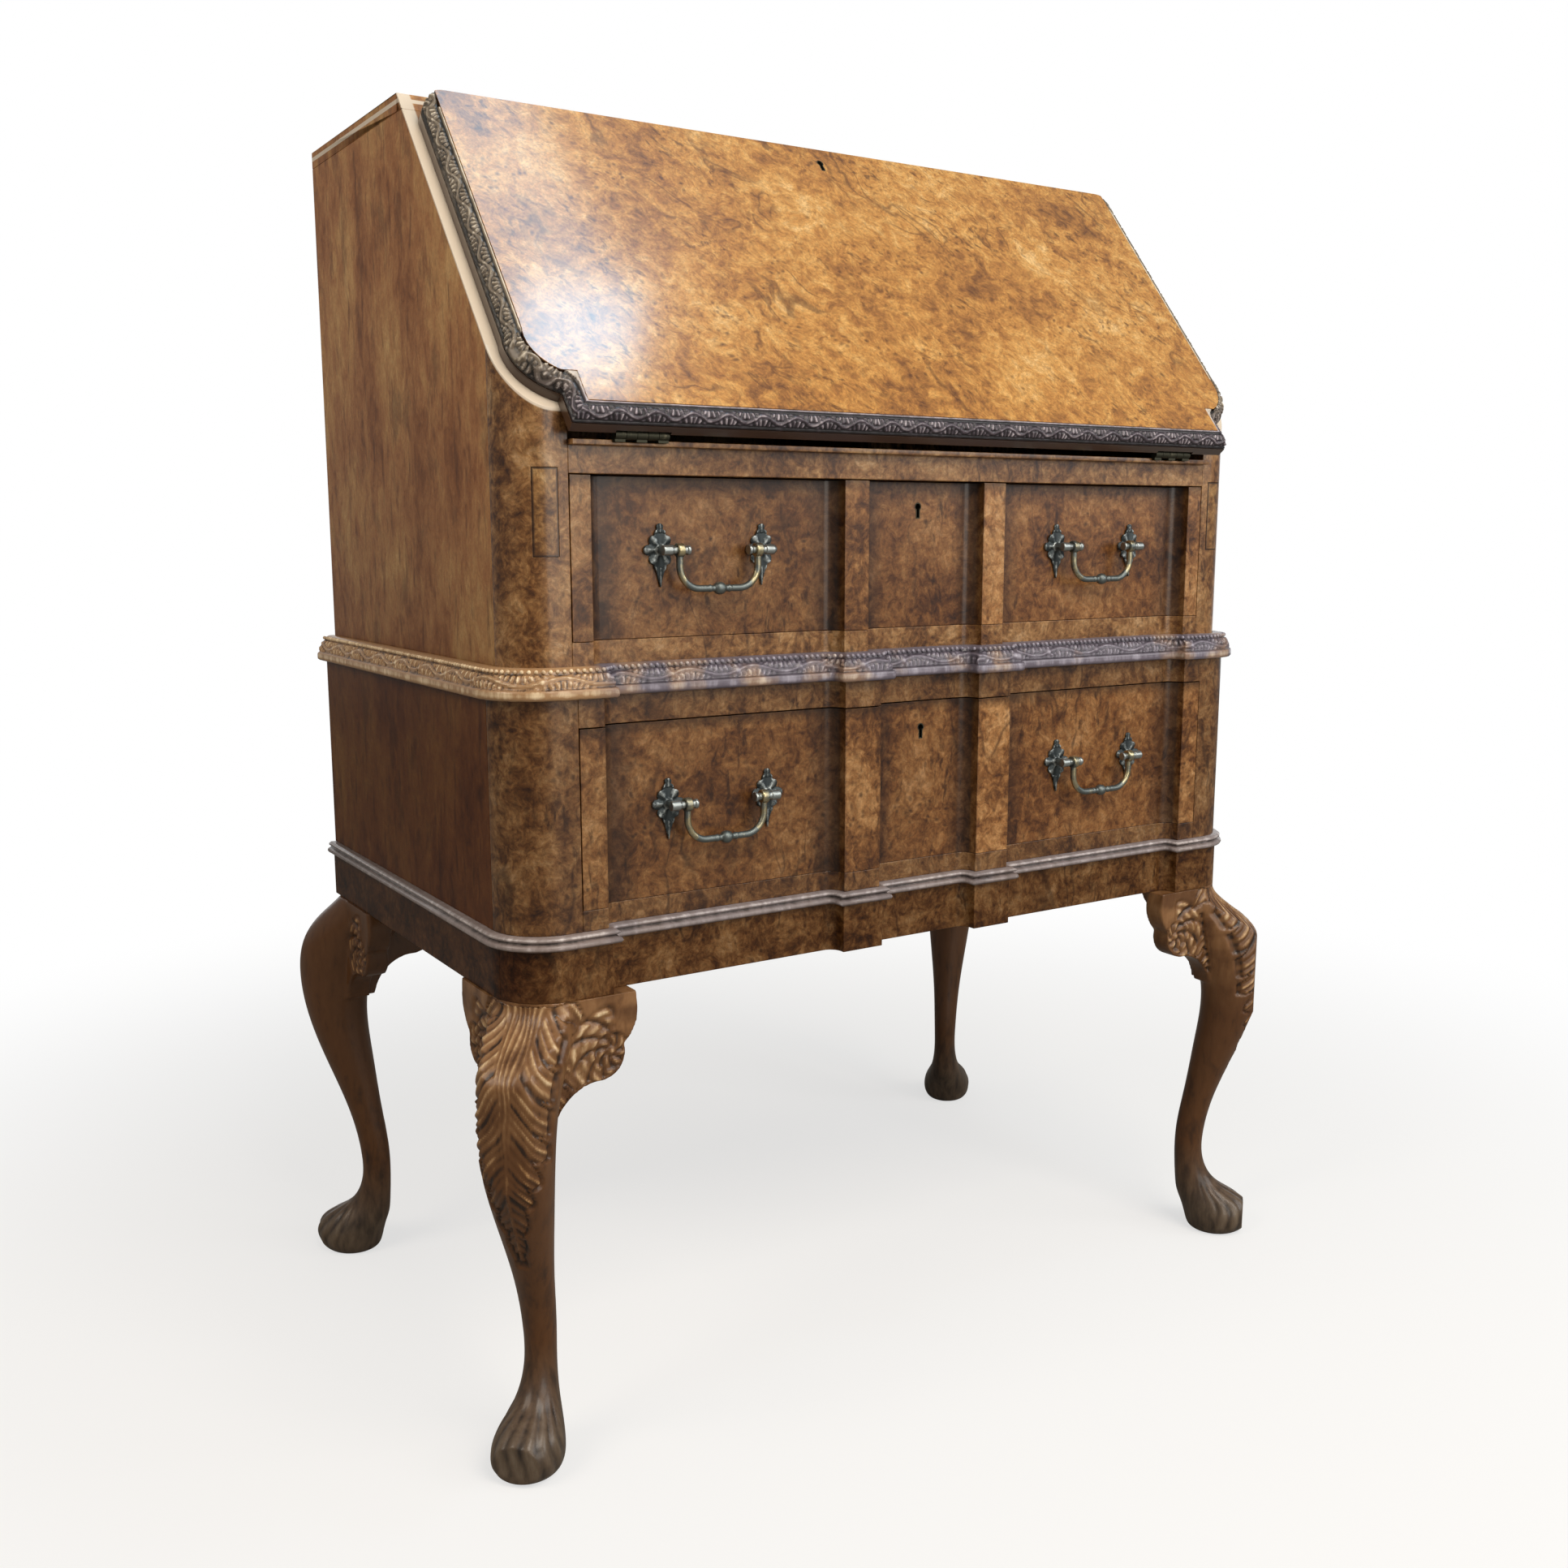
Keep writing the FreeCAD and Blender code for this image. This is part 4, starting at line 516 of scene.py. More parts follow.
plain_walnut, tree, shader, wood, _ = upright("plain_walnut_inside", WALNUT, "#40220f",
                                              22, 6, 0.4, 0.3)
paint(shader, wood)
print("finishes:", case_side.name, plain_walnut.name)

# %% [markdown]
# ## Carved walnut, oak, leather and metals
# Carved walnut is dark in the hollows and golden on the high places: partly old wax and wear,
# partly painted shade in the cuts and painted highlight on the ridges. Each carved piece stores
# how high its surface stands as an attribute called relief, and the finish reads it. The linings
# are plain oak, the writing surface is brown leather, and the handles are cast brass gone dark.

# %% Carved walnut
def carved(name, stops, roughness, coat):
    """Carved walnut: colours from hollow to worn by the relief attribute, partly painted shade and
    highlight.
    """
    material, tree, shader, place = finish(name)
    relief = add(tree, "ShaderNodeAttribute", out=2, attribute_name="relief")
    tall = stretched(tree, warped(tree, place, 25, 8), 0.25)
    grain = noise(tree, tall, 7, 5.0, 0.6)
    level = maths(tree, "ADD", relief, maths(tree, "MULTIPLY_ADD", grain, 0.9, -0.45))
    wood = ramp(tree, level, stops)
    roughen(shader, grain, 0.2, 0.3)
    polish(shader, roughness, coat)
    paint(shader, wood)
    return material, tree, shader, wood, level, place


def blended(shader, wood, level, share, stops):
    """Change the wood to another relief ramp where a share is 1, and return it."""
    mixed = mix(shader.id_data, share, wood, ramp(shader.id_data, level, stops))
    paint(shader, mixed)
    return mixed


# The front knees are paler in patches, partly rubbed, partly a painted highlight. The pads of the
# feet are painted greyer, as a painted sheen.
KNEE_RISE, FRONT_LEGS, PAD_RISE = (0.235, 0.340), (-0.120, -0.080), (0.03, 0.095)
leg_walnut, tree, shader, wood, level, place = carved("carved_walnut_leg", [
    (0.06, "#24150b"), (0.36, "#523216"), (0.64, "#5a391d"), (0.84, "#85603a"),
    (1.0, "#b48c5e")], 0.4, 0.3)
_, y, z = axes(tree, place)
knee = times(tree, fit(tree, z, *KNEE_RISE), fit(tree, y, *FRONT_LEGS, 1.0, 0.0))
patch = fit(tree, noise(tree, place, 24, 3.0), 0.38, 0.60, 0.15)
wood = blended(shader, wood, level, times(tree, knee, patch), [
    (0.06, "#33200f"), (0.36, "#7e5835"), (0.64, "#8f6a45"), (0.84, "#b3926a"),
    (1.0, "#d8c19c")])
blended(shader, wood, level, fit(tree, z, *PAD_RISE, 1.0, 0.0), [
    (0.05, "#221a15"), (0.42, "#574839"), (0.70, "#6d5f4f"), (1.0, "#a2978a")])

# A lilac-grey painted reflection lies in patches on the front lengths; the left corner of the
# waist is rubbed golden. The base moulding is painted silvery all round, as a painted sheen.
LEFT_CORNER, FRONT_FACE, BASE_TOP = (-0.318, -0.300), (-0.196, -0.186), (0.450, 0.460)
waist_walnut, tree, shader, wood, level, place = carved("carved_walnut_waist", [
    (0.08, "#3c281c"), (0.40, "#a07c57"), (0.66, "#a07c57"), (1.0, "#f0dab4")], 0.4, 0.4)
x, y, z = axes(tree, place)
bloom = times(tree, fit(tree, x, *LEFT_CORNER), fit(tree, y, *FRONT_FACE, 1.0, 0.0))
patch = fit(tree, noise(tree, place, 38, 3.0), 0.40, 0.54, 0.45)
wood = blended(shader, wood, level, times(tree, bloom, patch), [
    (0.08, "#332e36"), (0.42, "#59535d"), (0.70, "#68616c"), (1.0, "#a39eaa")])
blended(shader, wood, level, fit(tree, z, *BASE_TOP, 0.9, 0.0), [
    (0.08, "#3b332f"), (0.42, "#756a68"), (0.70, "#8b8180"), (1.0, "#cdc5c4")])

# The lower edge of the fall is painted nearly black with a violet cast, as painted shade; its
# slopes are greener.
LOWER_EDGE = (0.800, 0.830)
edge_walnut, tree, shader, wood, level, place = carved("carved_walnut_fall_edge", [
    (0.08, "#1e1a15"), (0.40, "#6a5e4f"), (0.66, "#6a5e4f"), (1.0, "#cfc3ae")], 0.42, 0.35)
blended(shader, wood, level, fit(tree, axes(tree, place)[2], *LOWER_EDGE, 1.0, 0.0), [
    (0.08, "#141014"), (0.40, "#3c343b"), (0.66, "#4a4149"), (1.0, "#b3a9ae")])
print("finishes:", leg_walnut.name, waist_walnut.name, edge_walnut.name)

# %% Oak linings
oak, tree, shader, wood, _ = upright("quartered_oak_lining", [
    (0.30, "#8a6a45"), (0.50, "#a5835a"), (0.70, "#b8976b")], "#6e5232", 30, 4, 0.6, 0.0)
paint(shader, wood)
print("finish:", oak.name)

# %% Leather writing surface
# The real grain is finer than a millimetre; it is drawn at 1.6 mm.
leather, tree, shader, place = finish("brown_skiver_writing_leather")
cells = add(tree, "ShaderNodeTexVoronoi", {"Vector": place, "Scale": per_mm(1.6)})
paint(shader, ramp(tree, noise(tree, place, 60, 4.0), [
    (0.35, "#3d2119"), (0.60, "#523023"), (0.75, "#6b4636")]))
roughen(shader, cells, 0.4)
shader.inputs["Roughness"].default_value = 0.5
print("finish:", leather.name)


# %% Brass and steel
def metal(name, dark, bright, roughness, patch_mm, coverage):
    """Old metal: dark tarnish with brighter rubbed patches."""
    material, tree, shader, place = finish(name)
    relief = add(tree, "ShaderNodeAttribute", out=2, attribute_name="relief")
    patch = noise(tree, place, patch_mm, 5.0, 0.65)
    level = maths(tree, "MULTIPLY_ADD", relief, 0.55, patch)
    rubbed = fit(tree, level, coverage, coverage + 0.22)
    paint(shader, mix(tree, rubbed, dark, bright))
    gloss = fit(tree, rubbed, 0.0, 1.0, roughness + 0.18, roughness)
    tree.links.new(gloss, shader.inputs["Roughness"])
    roughen(shader, patch, 0.25)
    shader.inputs["Metallic"].default_value = 1.0
    return material


aged_brass = metal("antique_cast_brass", "#444a4c", "#9aa09f", 0.40, 5, 0.66)
bail_brass = metal("rubbed_brass_bail", "#6c7372", "#b9ad88", 0.30, 9, 0.77)
hinge_brass = metal("old_rolled_brass", "#434238", "#8d866e", 0.42, 12, 0.6)
steel = metal("oiled_steel_bolt", "#3c3c3d", "#8f9092", 0.35, 10, 0.5)
print("finishes:", len(bpy.data.materials))

# %% [markdown]
# ## Dress the nodes
# A node whose shape is right only gets its finish. Where an edge shows, a copy takes the node's
# place: its loose triangles are merged, its arrises are eased by about half a millimetre as years
# of polishing do, and it is shaded smooth up to a chosen angle, so that facets of rounded corners
# and beads disappear.

# %% Assign finishes to nodes
PLAIN = {
    oak: ["lower_dust_board", "lower_back", "lower_runners", "upper_back", "loper_guides",
          *(f"{case}_drawer_{part}" for case in ("upper", "lower")
            for part in ("sides", "back", "bottom"))],
    plain_walnut: ["writing_board", "pigeonholes", "small_drawer_left",
                   "small_drawer_right", "apron_back"],
    loper_end: ["loper_left", "loper_right"],
    leather: ["fall_leather"],
    hinge_brass: ["hinge_fixed_leaves", "hinge_moving_leaves", "fall_lock", "upper_lock",
                  "lower_lock"],
    steel: ["fall_bolt", "upper_bolt", "lower_bolt"],
}
for material, nodes in PLAIN.items():
    for node in nodes:
        materials = frame["nodes"][node].data.materials
        materials.clear()
        materials.append(material)
print("dressed:", sum(len(nodes) for nodes in PLAIN.values()))

# %% Merge, ease and smooth a copy of a node
def edited(mesh, change):
    """The mesh after a function has changed its points and faces."""
    work = bmesh.new()
    work.from_mesh(mesh)
    change(work)
    work.to_mesh(mesh)
    work.free()
    return mesh


def merged_copy(node):
    """A copy of a node's mesh with its triangles joined."""
    return edited(frame["nodes"][node].data.copy(), lambda work: bmesh.ops.remove_doubles(
        work, verts=work.verts, dist=0.002 * MM))


def body_of(node):
    """Name of the body that carries a node."""
    bodies = frame["record"]["behaviour"]["bodies"]
    return next(body for body, nodes in bodies.items() if node in nodes)


def show(name, mesh, material, *nodes, body=None):
    """Put a finished mesh in the scene in place of nodes, on a body or on that of the first."""
    body = body or body_of(nodes[0])
    mesh.name = name
    mesh.materials.clear()
    mesh.materials.append(material)
    piece = bpy.data.objects.new(name, mesh)
    SCENE.collection.objects.link(piece)
    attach(piece, body)
    if nodes:
        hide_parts(*nodes)
    print(name, len(mesh.polygons), "faces")
    return piece


def evaluated(piece):
    """The mesh of an object after its modifiers; the object is removed."""
    graph = bpy.context.evaluated_depsgraph_get()
    result = bpy.data.meshes.new_from_object(piece.evaluated_get(graph))
    bpy.data.objects.remove(piece)
    return result


def applied(mesh, *steps):
    """The mesh after modifiers given as (type, settings)."""
    temporary = bpy.data.objects.new("temporary", mesh)
    SCENE.collection.objects.link(temporary)
    for kind, settings in steps:
        modifier = temporary.modifiers.new(kind.lower(), kind)
        for name, value in settings.items():
            setattr(modifier, name, value)
    return evaluated(temporary)


def smooth(mesh, degrees):
    """Smooth shading, sharp where faces meet at more than an angle."""
    mesh.shade_smooth()
    mesh.set_sharp_from_angle(angle=math.radians(degrees))


EASED_WIDTH = 0.6
EASED_ANGLE = 35


def eased(node, material):
    """Put a copy with rounded arrises in a node's place."""
    mesh = edited(merged_copy(node), lambda work: bmesh.ops.dissolve_limit(
        work, angle_limit=math.radians(0.4), verts=work.verts, edges=work.edges))
    bevel = {"width": EASED_WIDTH * MM, "segments": 2, "limit_method": "ANGLE",
             "angle_limit": math.radians(EASED_ANGLE), "use_clamp_overlap": True}
    result = applied(mesh, ("BEVEL", bevel))
    smooth(result, EASED_ANGLE)
    result = applied(result, ("WEIGHTED_NORMAL", {"keep_sharp": True}))
    show(node + "_eased", result, material, node)


EASED = [
    (case_side, ["upper_side_left", "upper_side_right", "lower_side_left",
                 "lower_side_right", "top_board"]),
    (upper_stile, ["upper_post_left", "upper_post_right", "upper_rail"]),
    (lower_stile, ["lower_post_left", "lower_post_right", "lower_top_rail",
                   "lower_bottom_rail"]),
    (dark_apron, ["apron_front", "apron_left", "apron_right"]),
    (upper_stile, ["upper_bottom_board"]),
    (upper_front, ["upper_drawer_front"]),
    (lower_front, ["lower_drawer_front"]),
    (burr_fall, ["fall_panel"]),
]
for material, nodes in EASED:
    for node in nodes:
        eased(node, material)

# %% [markdown]
# ## Fine skins
# Carving and casting both start from a fine skin over the plain piece: voxel remeshing joins what
# was glued or cast together, and a few rounds of smoothing melt the edges. A function then places
# the points, in millimetres, and says for each how high it stands, which the finishes read as
# relief.

# %% Read, shape and write a skin
def write_relief(mesh, values):
    """Keep how high each point stands, from 0 in the cuts to 1 on the ridges."""
    layer = mesh.attributes.new("relief", "FLOAT", "POINT")
    layer.data.foreach_set("value", values)


def read_skin(mesh):
    """Points in millimetres and their normals."""
    points, normals = np.empty((2, len(mesh.vertices) * 3))
    mesh.vertices.foreach_get("co", points)
    mesh.vertices.foreach_get("normal", normals)
    return points.reshape(-1, 3) / MM, normals.reshape(-1, 3)


def fine_skin(mesh, voxel, rounds, shape):
    """A smoothed voxel skin whose points and relief come from a function."""
    skin = applied(mesh, ("REMESH", {"mode": "VOXEL", "voxel_size": voxel * MM}),
                   ("SMOOTH", {"factor": 0.5, "iterations": rounds}))
    points, relief = shape(*read_skin(skin))
    skin.vertices.foreach_set("co", (points * MM).ravel())
    write_relief(skin, np.clip(relief, 0, 1))
    skin.update()
    smooth(skin, 180)
    return skin


def hill(distance, width):
    """Smooth hill of a given half width."""
    return np.clip(1 - (distance / width) ** 2, 0, 1) ** 1.5


def step(value, low, high):
    """Smooth step from 0 at low to 1 at high."""
    t = np.clip((value - low) / (high - low), 0, 1)
    return t * t * (3 - 2 * t)


def plateau(value, start, full, still, end):
    """1 from full to still, with smooth steps to 0 at start and end."""
    return step(value, start, full) * (1 - step(value, still, end))


def ridges(angle):
    """Ridges from 0 to 1, one for each whole turn of an angle."""
    return 0.5 + 0.5 * np.cos(angle)


def over(relief, mask, other):
    """One relief laid over another where a mask is 1."""
    return relief * (1 - mask) + mask * other


TURN = 2 * math.pi
print("a hill, half way out:", round(float(hill(0.5, 1)), 3))

# %% Base moulding
# The double bead keeps its shape. Its relief follows its height: dark quirks and light beads,
# partly wax and wear, partly painted shade and highlight.
BASE_BOTTOM = 405.0
BASE_HEIGHT = 11.0
base = merged_copy("base_moulding")
smooth(base, 50)
rise = (read_skin(base)[0][:, 2] - BASE_BOTTOM) / BASE_HEIGHT
write_relief(base, np.interp(rise, [0, 0.10, 0.25, 0.42, 0.54, 0.62, 0.72, 0.86, 1],
                             [0.3, 0.40, 0.7, 0.55, 0.25, 0.12, 0.6, 0.82, 0.55]))
show("base_moulding_round", base, waist_walnut, "base_moulding")

# %% [markdown]
# ## Carve the legs
# Each leg and its two brackets were glued up and then carved as one. The carving is cut inwards
# from their common skin, never outwards, by a height that is worked out for every point: a long
# acanthus leaf down each front knee, a flower in a curled leaf on each bracket, and fluted pads.

# %% Relief of the knee leaf
LEAF_PITCH = 27.0
LEAF_END = (192, 202)
FINGER_WIDTH = 5.6
EAR_FLOWER = (75.0, 44.0)
FLOWER_RADIUS = 15.0


def knee_leaf(across, down):
    """Relief of the acanthus leaf from 0 in its cuts to 1 on its ribs, with its mask."""
    side = np.abs(across)
    phase = (down - 0.9 * side - 0.015 * side ** 2) / LEAF_PITCH
    phase += 0.07 * np.sin(down / 9 + across / 7)
    part = phase - np.floor(phase)
    reach = (38.0 - 33.0 * step(down, 55, 200)) * (
        0.68 + 0.38 * np.sin(math.pi * part) ** 0.8)
    mask = step(reach - side, -1.0, 2.0) * step(down, -2, 2)
    mask *= 1 - step(down, *LEAF_END)
    lobe = plateau(part, 0.0, 0.20, 0.84, 1.0)
    fingers = 0.66 + 0.34 * np.cos(TURN * (part * 3 - 0.4))
    swell = 0.55 + 0.45 * np.sin(math.pi * part) * step(side, 3, 16)
    narrow = across / (1 - down / 190 * 0.5)
    fan = ridges(narrow * TURN / FINGER_WIDTH + np.sin(down / 8 + across / 5) * 1.6)
    top = 1 - step(down, 60, 125)
    top *= step(np.maximum(22 - down * 0.28, 4.5) - side, -3, 3)
    spine = hill(side, 2.4) * step(down, 80, 110)
    relief = lobe * fingers * swell * (1 - top) + top * (0.30 + 0.60 * fan)
    return np.maximum(relief, spine * 0.7), mask


def flower(x, y):
    """Relief of a carved flower of seven curled petals with a round eye, with its mask."""
    away = np.hypot(x, y)
    turn = np.arctan2(y, x) + away / FLOWER_RADIUS * 0.9
    petals = hill(away - FLOWER_RADIUS * 0.60, FLOWER_RADIUS * 0.44) * ridges(7 * turn)
    eye = hill(away, FLOWER_RADIUS * 0.30)
    mask = step(FLOWER_RADIUS - away, -0.5, 1.5)
    return np.maximum(petals, eye) * mask, mask


def ear_scroll(x, y):
    """Relief of the curled leaf that wraps a bracket's flower, with its mask."""
    away = np.hypot(x, y)
    phase = np.arctan2(y, x) * 10 / TURN + away / 22.0
    lobe = plateau(phase - np.floor(phase), 0.0, 0.35, 0.75, 1.0)
    mask = plateau(away, 14.0, 16.0, 33.0, 38.0) * step(6 - x, 0, 8)
    return lobe * (0.75 + 0.25 * np.cos(away * TURN / 8.0)), mask


print("leaf relief at its spine:", knee_leaf(np.zeros(1), np.full(1, 100.0))[0])

# %% Carve one leg
# Lengths in millimetres. The apron above has a rounded corner, and the post inside it reaches out
# to POST_LIMIT. The brackets' upper ends are raised by TOP_SPARE, so that smoothing doesn't round
# them under the apron.
APRON_UNDERSIDE = 365.0
CORNER = (380.0, 219.0)
CORNER_RADIUS = 42.0
POST_LIMIT = (359.0, 198.0)
TOP_SPARE = 8.0
CARVING_DEPTH = 3.2
DIAGONAL = math.sqrt(0.5)


def quadrant(mesh, sign_x, sign_y):
    """The part of a merged mesh in one corner of the plan."""
    def change(work):
        away = [v for v in work.verts if v.co.x * sign_x < 0 or v.co.y * sign_y < 0]
        bmesh.ops.delete(work, geom=away, context="VERTS")
        for vertex in work.verts:
            if vertex.co.z > (APRON_UNDERSIDE - 0.2) * MM:
                vertex.co.z += TOP_SPARE * MM
    return edited(mesh.copy(), change)


def held_under_apron(points, down, sign_x, sign_y):
    """Keep the knee within the apron's rounded corner and below its underside."""
    corner = np.abs(points[:, :2]) - np.array(CORNER) + CORNER_RADIUS
    away = np.hypot(*corner.T)
    allowed = CORNER_RADIUS + 2.0 + 45.0 * step(down, 2, 52)
    beyond = (corner > 0).all(axis=1) & (away > allowed) & (sign_y < 0)
    pull = np.where(beyond, allowed / np.maximum(away, 1), 1.0) - 1
    points[:, :2] += pull[:, None] * corner * (sign_x, sign_y)
    outside = (np.abs(points[:, :2]) > POST_LIMIT).any(axis=1)
    points[outside, 2] = np.minimum(points[outside, 2], APRON_UNDERSIDE)
    return points


def carver(sign_x, sign_y):
    """The function that cuts the relief into the skin of one leg."""
    def shape(points, normals):
        from_x = points[:, 0] * sign_x - CORNER[0]
        from_y = points[:, 1] * sign_y - CORNER[1]
        normal_x = normals[:, 0] * sign_x
        normal_y = normals[:, 1] * sign_y
        height = points[:, 2]
        down = APRON_UNDERSIDE - height
        across = (from_x - from_y) * DIAGONAL
        outward = (from_x + from_y) * DIAGONAL
        facing = (normal_x + normal_y) * DIAGONAL
        relief = np.full(len(points), 0.42)
        ground = np.zeros(len(points))
        if sign_y < 0:
            leaf, mask = knee_leaf(across, down)
            mask = mask * step(facing, 0.0, 0.3)
            rim = mask * (1 - mask) * 4
            ground = np.maximum(mask * (1 - leaf), rim)
            relief = over(relief, mask, 0.06 + 0.88 * leaf) - 0.30 * rim
        for along, normal in ((-from_x, normal_y), (-from_y, normal_x)):
            x, y = along - EAR_FLOWER[0], down - EAR_FLOWER[1]
            face = step(normal, 0.45, 0.75) * step(down, -1, 3)
            pattern, mask = ear_scroll(x, y)
            bloom, bloom_mask = flower(x, y)
            pattern = pattern * mask * (1 - bloom_mask) + bloom
            mask = np.maximum(mask, bloom_mask) * face
            ground = np.maximum(ground, mask * (1 - pattern))
            relief = over(relief, mask, 0.08 + 0.84 * pattern)
        toes = np.arctan2(across, outward + 22) * 26 + np.sin(height / 7) * 1.2
        flute = ridges(toes) ** 0.7
        foot = plateau(height, 5, 11, 36, 58) * step(facing, -0.3, 0.2)
        ground = np.maximum(ground, foot * (1 - flute) * 0.34)
        relief = over(relief, foot, 0.30 + 0.36 * flute)
        points = points - normals * (ground * CARVING_DEPTH)[:, None]
        # painted shade: the lower shin is painted darker through a lower relief
        relief -= 0.12 * (1 - step(points[:, 2], 60, 230))
        return held_under_apron(points, down, sign_x, sign_y), relief
    return shape


brackets = merged_copy("knee_brackets")
for node, sign_x, sign_y in (("leg_front_left", -1, -1), ("leg_front_right", 1, -1),
                             ("leg_back_left", -1, 1), ("leg_back_right", 1, 1)):
    pair = quadrant(brackets, sign_x, sign_y)
    joined = edited(merged_copy(node), lambda work: work.from_mesh(pair))
    skin = fine_skin(joined, 1.7, 6, carver(sign_x, sign_y))
    show("carved_" + node, skin, leg_walnut, node, "knee_brackets")

# %% [markdown]
# ## Carved mouldings
# The waist moulding and the edge of the fall are carved with one repeat: a winding stem with
# slanted leaves on both sides and a bud, every 58 mm on the waist and every 30 mm on the fall.
# The relief is cut into a fine skin of the plain moulding, so that it follows each curve and
# step. Where along the moulding a point lies comes from the nearest point of its path.

# %% Follow a path
def follow(points, path):
    """Length along a path and distance from it for every point, in mm."""
    path = np.array(path)
    legs = np.hypot(*np.diff(path, axis=0).T)
    marks = np.concatenate([[0], np.cumsum(legs)])
    lengths = np.arange(0, marks[-1], 1.0)
    dense = np.stack([np.interp(lengths, marks, path[:, i]) for i in (0, 1)], axis=1)
    nearest = np.empty(len(points), int)
    gaps = np.empty(len(points))
    for start in range(0, len(points), 4000):
        some = slice(start, start + 4000)
        square = ((points[some, None] - dense[None]) ** 2).sum(axis=2)
        nearest[some] = square.argmin(axis=1)
        gaps[some] = np.sqrt(square.min(axis=1))
    return lengths[nearest], gaps


WAIST_REPEAT = 58.0
FALL_REPEAT = 30.0
STROKE = 5.0


def motif(run, rise, repeat):
    """Carved repeat: a winding stem with slanted leaves; rise goes from 0 to 1."""
    turn = run * TURN / repeat
    centre = 0.5 + 0.26 * np.sin(turn)
    stem = hill(rise - centre, 0.17)
    strokes = ridges(TURN * (run / STROKE + 1.3 * (rise - 0.5) * np.cos(turn)))
    edge = step(0.5 - np.abs(rise - 0.5), 0.0, 0.14)
    apart = step(np.abs(rise - centre), 0.14, 0.28)
    bud_x = run % repeat - repeat * 0.5
    bud = hill(np.hypot(bud_x, (rise - 0.5) * 12.0), repeat * 0.08)
    return np.maximum(np.maximum(0.8 * stem, strokes * edge * apart), bud)


def cut_relief(node, voxel, depth, material, read):
    """Replace a moulding by a fine skin with a relief cut inwards."""
    def shape(points, normals):
        ground, relief = read(points)
        return points - normals * (ground * depth)[:, None], relief
    skin = fine_skin(merged_copy(node), voxel, 2, shape)
    show("carved_" + node, skin, material, node)


print("repeats:", WAIST_REPEAT, FALL_REPEAT, "mm")

# %% Waist moulding
COVE_DEPTH = 14
COVE_WIDTH = 13


def plan_path(half, face, radius, back, block=304, outer=88, inner=52):
    """Path round the plan from the right back corner to the left, in mm."""
    recess = face + COVE_DEPTH
    angles = [math.radians(-90 * i / 12) for i in range(13)]
    right = [(half, back)] + [(half - radius + radius * math.cos(a),
                               face + radius + radius * math.sin(a)) for a in angles]
    right += [(block, face), (block - COVE_WIDTH, recess), (outer + COVE_WIDTH, recess),
              (outer, face), (inner, face), (inner - COVE_WIDTH, recess)]
    return right + [(-x, y) for x, y in reversed(right)]


WAIST_BOTTOM = 591.0
waist_path = plan_path(380, -219, 42, 219)


def read_waist(points):
    """Where the waist is cut, and its relief."""
    run, _ = follow(points[:, :2], waist_path)
    height = points[:, 2] - WAIST_BOTTOM
    zone = plateau(height, 7.4, 8.8, 19.6, 20.8)
    pattern = motif(run, (height - 8.0) / 11.5, WAIST_REPEAT)
    relief = np.interp(height, [0, 1.5, 4, 6.8, 7.6, 8.5, 19.5, 20.8, 23],
                       [0.3, 0.62, 0.80, 0.66, 0.15, 0.5, 0.5, 0.6, 0.55])
    return zone * (1 - pattern), over(relief, zone, 0.12 + 0.82 * pattern)


cut_relief("waist_moulding", 1.5, 1.6, waist_walnut, read_waist)

# %% Edge of the fall
# The path is given in the fall's own plane: across from its middle and up from its pins, in mm.
right_edge = [(346.0, 322.7), (362.0, 306.0), (362.0, 75.4), (357.5, 58.0), (347.0, 43.0),
              (331.3, 25.4), (331.0, -1.6)]
fall_path = right_edge + [(-x, s) for x, s in reversed(right_edge)]


def read_fall_edge(points):
    """Where the edge of the fall is cut, and its relief."""
    back = points - np.array([0.0, *PIN]) / MM
    up = back[:, 1] * math.sin(SLOPE) + back[:, 2] * math.cos(SLOPE)
    out = -back[:, 1] * math.cos(SLOPE) + back[:, 2] * math.sin(SLOPE)
    run, inwards = follow(np.stack([points[:, 0], up], axis=1), fall_path)
    below = FALL_FRONT - out
    rise = np.clip((inwards - below + 9.0) / 17.0, 0, 1)
    zone = (1 - step(below, 9.0, 10.4)) * (1 - step(inwards, 9.4, 10.4))
    pattern = motif(run, rise, FALL_REPEAT)
    relief = np.where(inwards > 10.0, 0.95, 0.10)
    return zone * (1 - pattern), over(relief, zone, 0.08 + 0.85 * pattern)


cut_relief("fall_moulding", 1.1, 1.7, edge_walnut, read_fall_edge)

# %% [markdown]
# ## Row of beads
# A row of small beads runs above the carving of the waist. Geometry Nodes cut the path into even
# lengths and set one bead on each. A bead is only a few millimetres wide, so it has few faces.

# %% Beads along a path
def bead_tree(material, spacing, radius):
    """Geometry Nodes: a bead on every step of a path, with lengths in millimetres."""
    tree = bpy.data.node_groups.new("row_of_beads", "GeometryNodeTree")
    for name, way in (("Path", "INPUT"), ("Beads", "OUTPUT")):
        tree.interface.new_socket(name, in_out=way, socket_type="NodeSocketGeometry")
    given = tree.nodes.new("NodeGroupInput")
    path = add(tree, "GeometryNodeResampleCurve", {"Curve": given.outputs["Path"],
                                                   "Length": spacing * MM}, mode="LENGTH")
    bead = add(tree, "GeometryNodeMeshUVSphere", {"Segments": 8, "Rings": 5,
                                                  "Radius": radius * MM})
    row = add(tree, "GeometryNodeInstanceOnPoints", {"Points": path, "Instance": bead})
    real = add(tree, "GeometryNodeRealizeInstances", {"Geometry": row})
    coated = add(tree, "GeometryNodeSetMaterial", {"Geometry": real, "Material": material})
    tree.links.new(coated, tree.nodes.new("NodeGroupOutput").inputs["Beads"])
    return tree


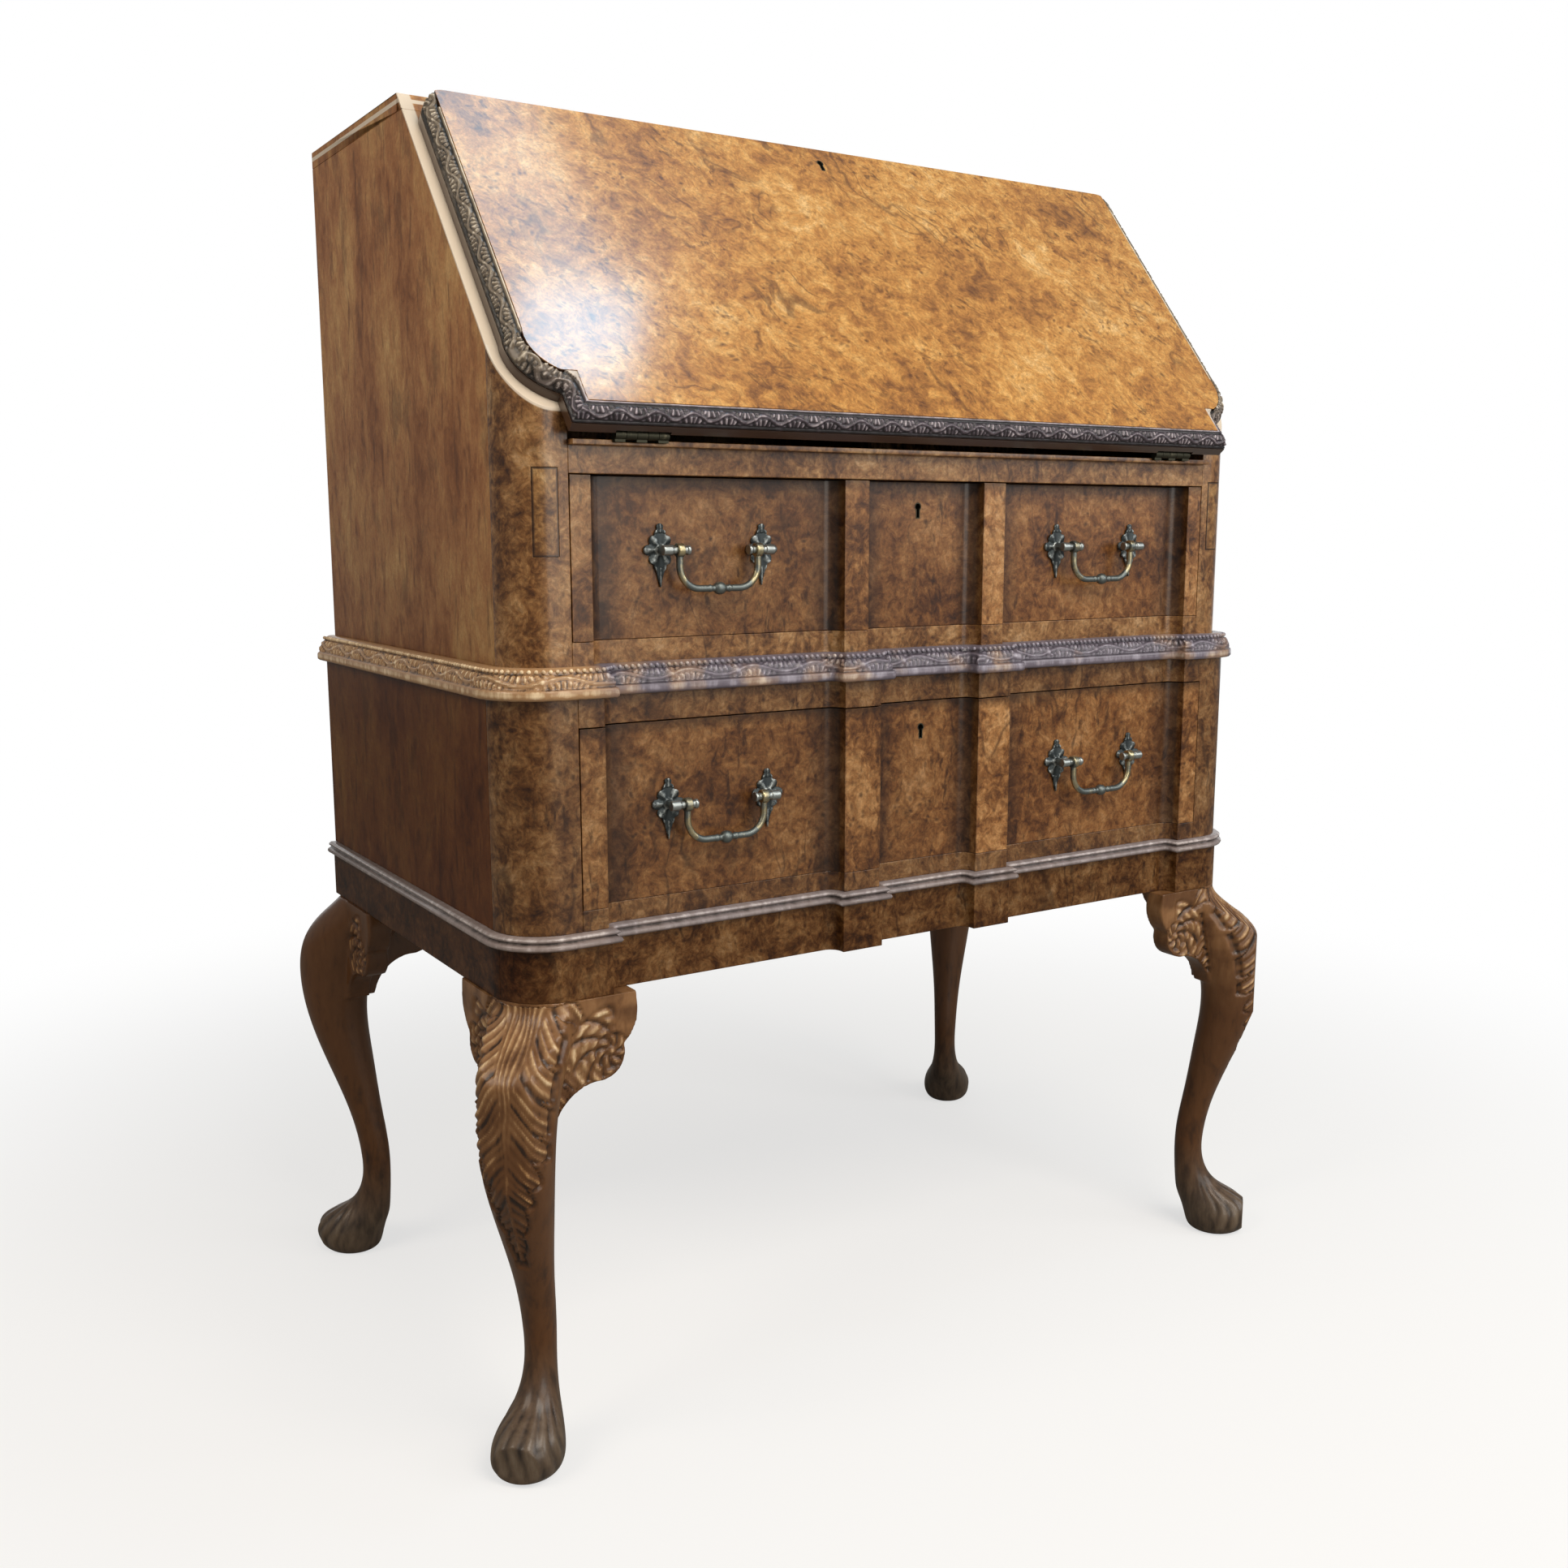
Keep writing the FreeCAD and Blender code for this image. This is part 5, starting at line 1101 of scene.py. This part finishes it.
BEAD_HEIGHT = WAIST_BOTTOM + 20.6
BEAD_SPACING, BEAD_RADIUS = 5.2, 1.6
bead_path = plan_path(381.5, -220.5, 43, 217)
curve = bpy.data.curves.new("waist_beads", "CURVE")
curve.dimensions = "3D"
spline = curve.splines.new("POLY")
spline.points.add(len(bead_path) - 1)
for point, (x, y) in zip(spline.points, bead_path):
    point.co = (x * MM, y * MM, BEAD_HEIGHT * MM, 1.0)
path = bpy.data.objects.new("waist_beads", curve)
SCENE.collection.objects.link(path)
beading = path.modifiers.new("beads", "NODES")
beading.node_group = bead_tree(waist_walnut, BEAD_SPACING, BEAD_RADIUS)
row = evaluated(path)
row.shade_smooth()
write_relief(row, [0.85] * len(row.vertices))
beads = show("waist_beads", row, waist_walnut, body="carcass")

# %% [markdown]
# ## Cast handles
# The plates were sand cast and chased, so nothing on them is sharp. A skin on a half-millimetre
# grid melts their edges; petals are then sunk into the face. The bails swell towards their bends
# and have small collars beside the knot.

# %% Cast the plates
def cast(node, material, voxel, swell, shape):
    """Melt a node's edges, swell it by a thickness and let a function shape its points."""
    skin = fine_skin(merged_copy(node), voxel, 4,
                     lambda points, normals: shape(points + normals * swell))
    show(node + "_cast", skin, material, node)


PLATE_CENTRES = np.array([245.5, 155.5])
PLATE_SPREAD = 0.18


def chased(plate_y, height):
    """Sink petals into the plates whose back is at plate_y."""
    def shape(points):
        nearest = np.argmin(np.abs(np.abs(points[:, 0:1]) - PLATE_CENTRES), axis=1)
        x = points[:, 0] - PLATE_CENTRES[nearest] * np.sign(points[:, 0])
        z = points[:, 2] - height
        stand = plate_y - points[:, 1]
        face = plateau(stand, 1.2, 2.2, 2.8, 3.6)
        away = np.hypot(x, z)
        petals = ridges(6 * np.arctan2(z, x))
        cut = face * step(away, 3.6, 5.0) * (1 - petals) * 1.3
        cut = np.where(away > 13, face * (1 - ridges(x * TURN / 3.4)) * 0.9, cut)
        points[:, 1] += cut
        points[:, 0] += x * PLATE_SPREAD * (1 - step(stand, 3.0, 4.5))
        return points, 0.45 + 0.5 * step(stand, 1.0, 9.0) - 0.45 * cut
    return shape


UPPER_HEIGHT = 697.0
LOWER_HEIGHT = 504.0
cast("upper_handle_plates", aged_brass, 0.5, 0.2, chased(-197.0, UPPER_HEIGHT))
cast("lower_handle_plates", aged_brass, 0.5, 0.2, chased(-205.0, LOWER_HEIGHT))

# %% Cast the bails
BAIL_CENTRE = 200.5
BAIL_DROP = 29.0
ROD_RADIUS = 2.4
KNOT_RADIUS = 4.9


def swollen(centre_x, axis_y, height):
    """Swell a bail towards its bends and add collars beside the knot."""
    low = height - BAIL_DROP

    def shape(points):
        side = np.abs(points[:, 0] - centre_x)
        y = points[:, 1] - axis_y
        z = points[:, 2] - low
        ball = KNOT_RADIUS * np.sqrt(np.clip(1 - (side / 5.6) ** 2, 0, 1))
        wanted = np.maximum(ROD_RADIUS + 0.5 * hill(side - 8.5, 1.8), ball)
        wanted += 0.35 * hill(side - 16.0, 8.0)
        run = (side < 14.0) & (np.abs(z) < 8)
        grow = np.where(run, wanted / np.maximum(np.hypot(y, z), 0.4), 1.0)
        points[:, 1] = axis_y + y * grow
        points[:, 2] = low + z * grow
        # The bends are painted brighter: partly rubbed brass, partly a painted reflection.
        return points, 0.30 + 0.45 * hill(side - 33.0, 9.0)
    return shape


for name, axis_y, height in (("upper", -210.0, UPPER_HEIGHT), ("lower", -218.0, LOWER_HEIGHT)):
    for hand, side in (("left", -1), ("right", 1)):
        cast(name + "_bail_" + hand, bail_brass, 0.4, 0.5,
             swollen(side * BAIL_CENTRE, axis_y, height))
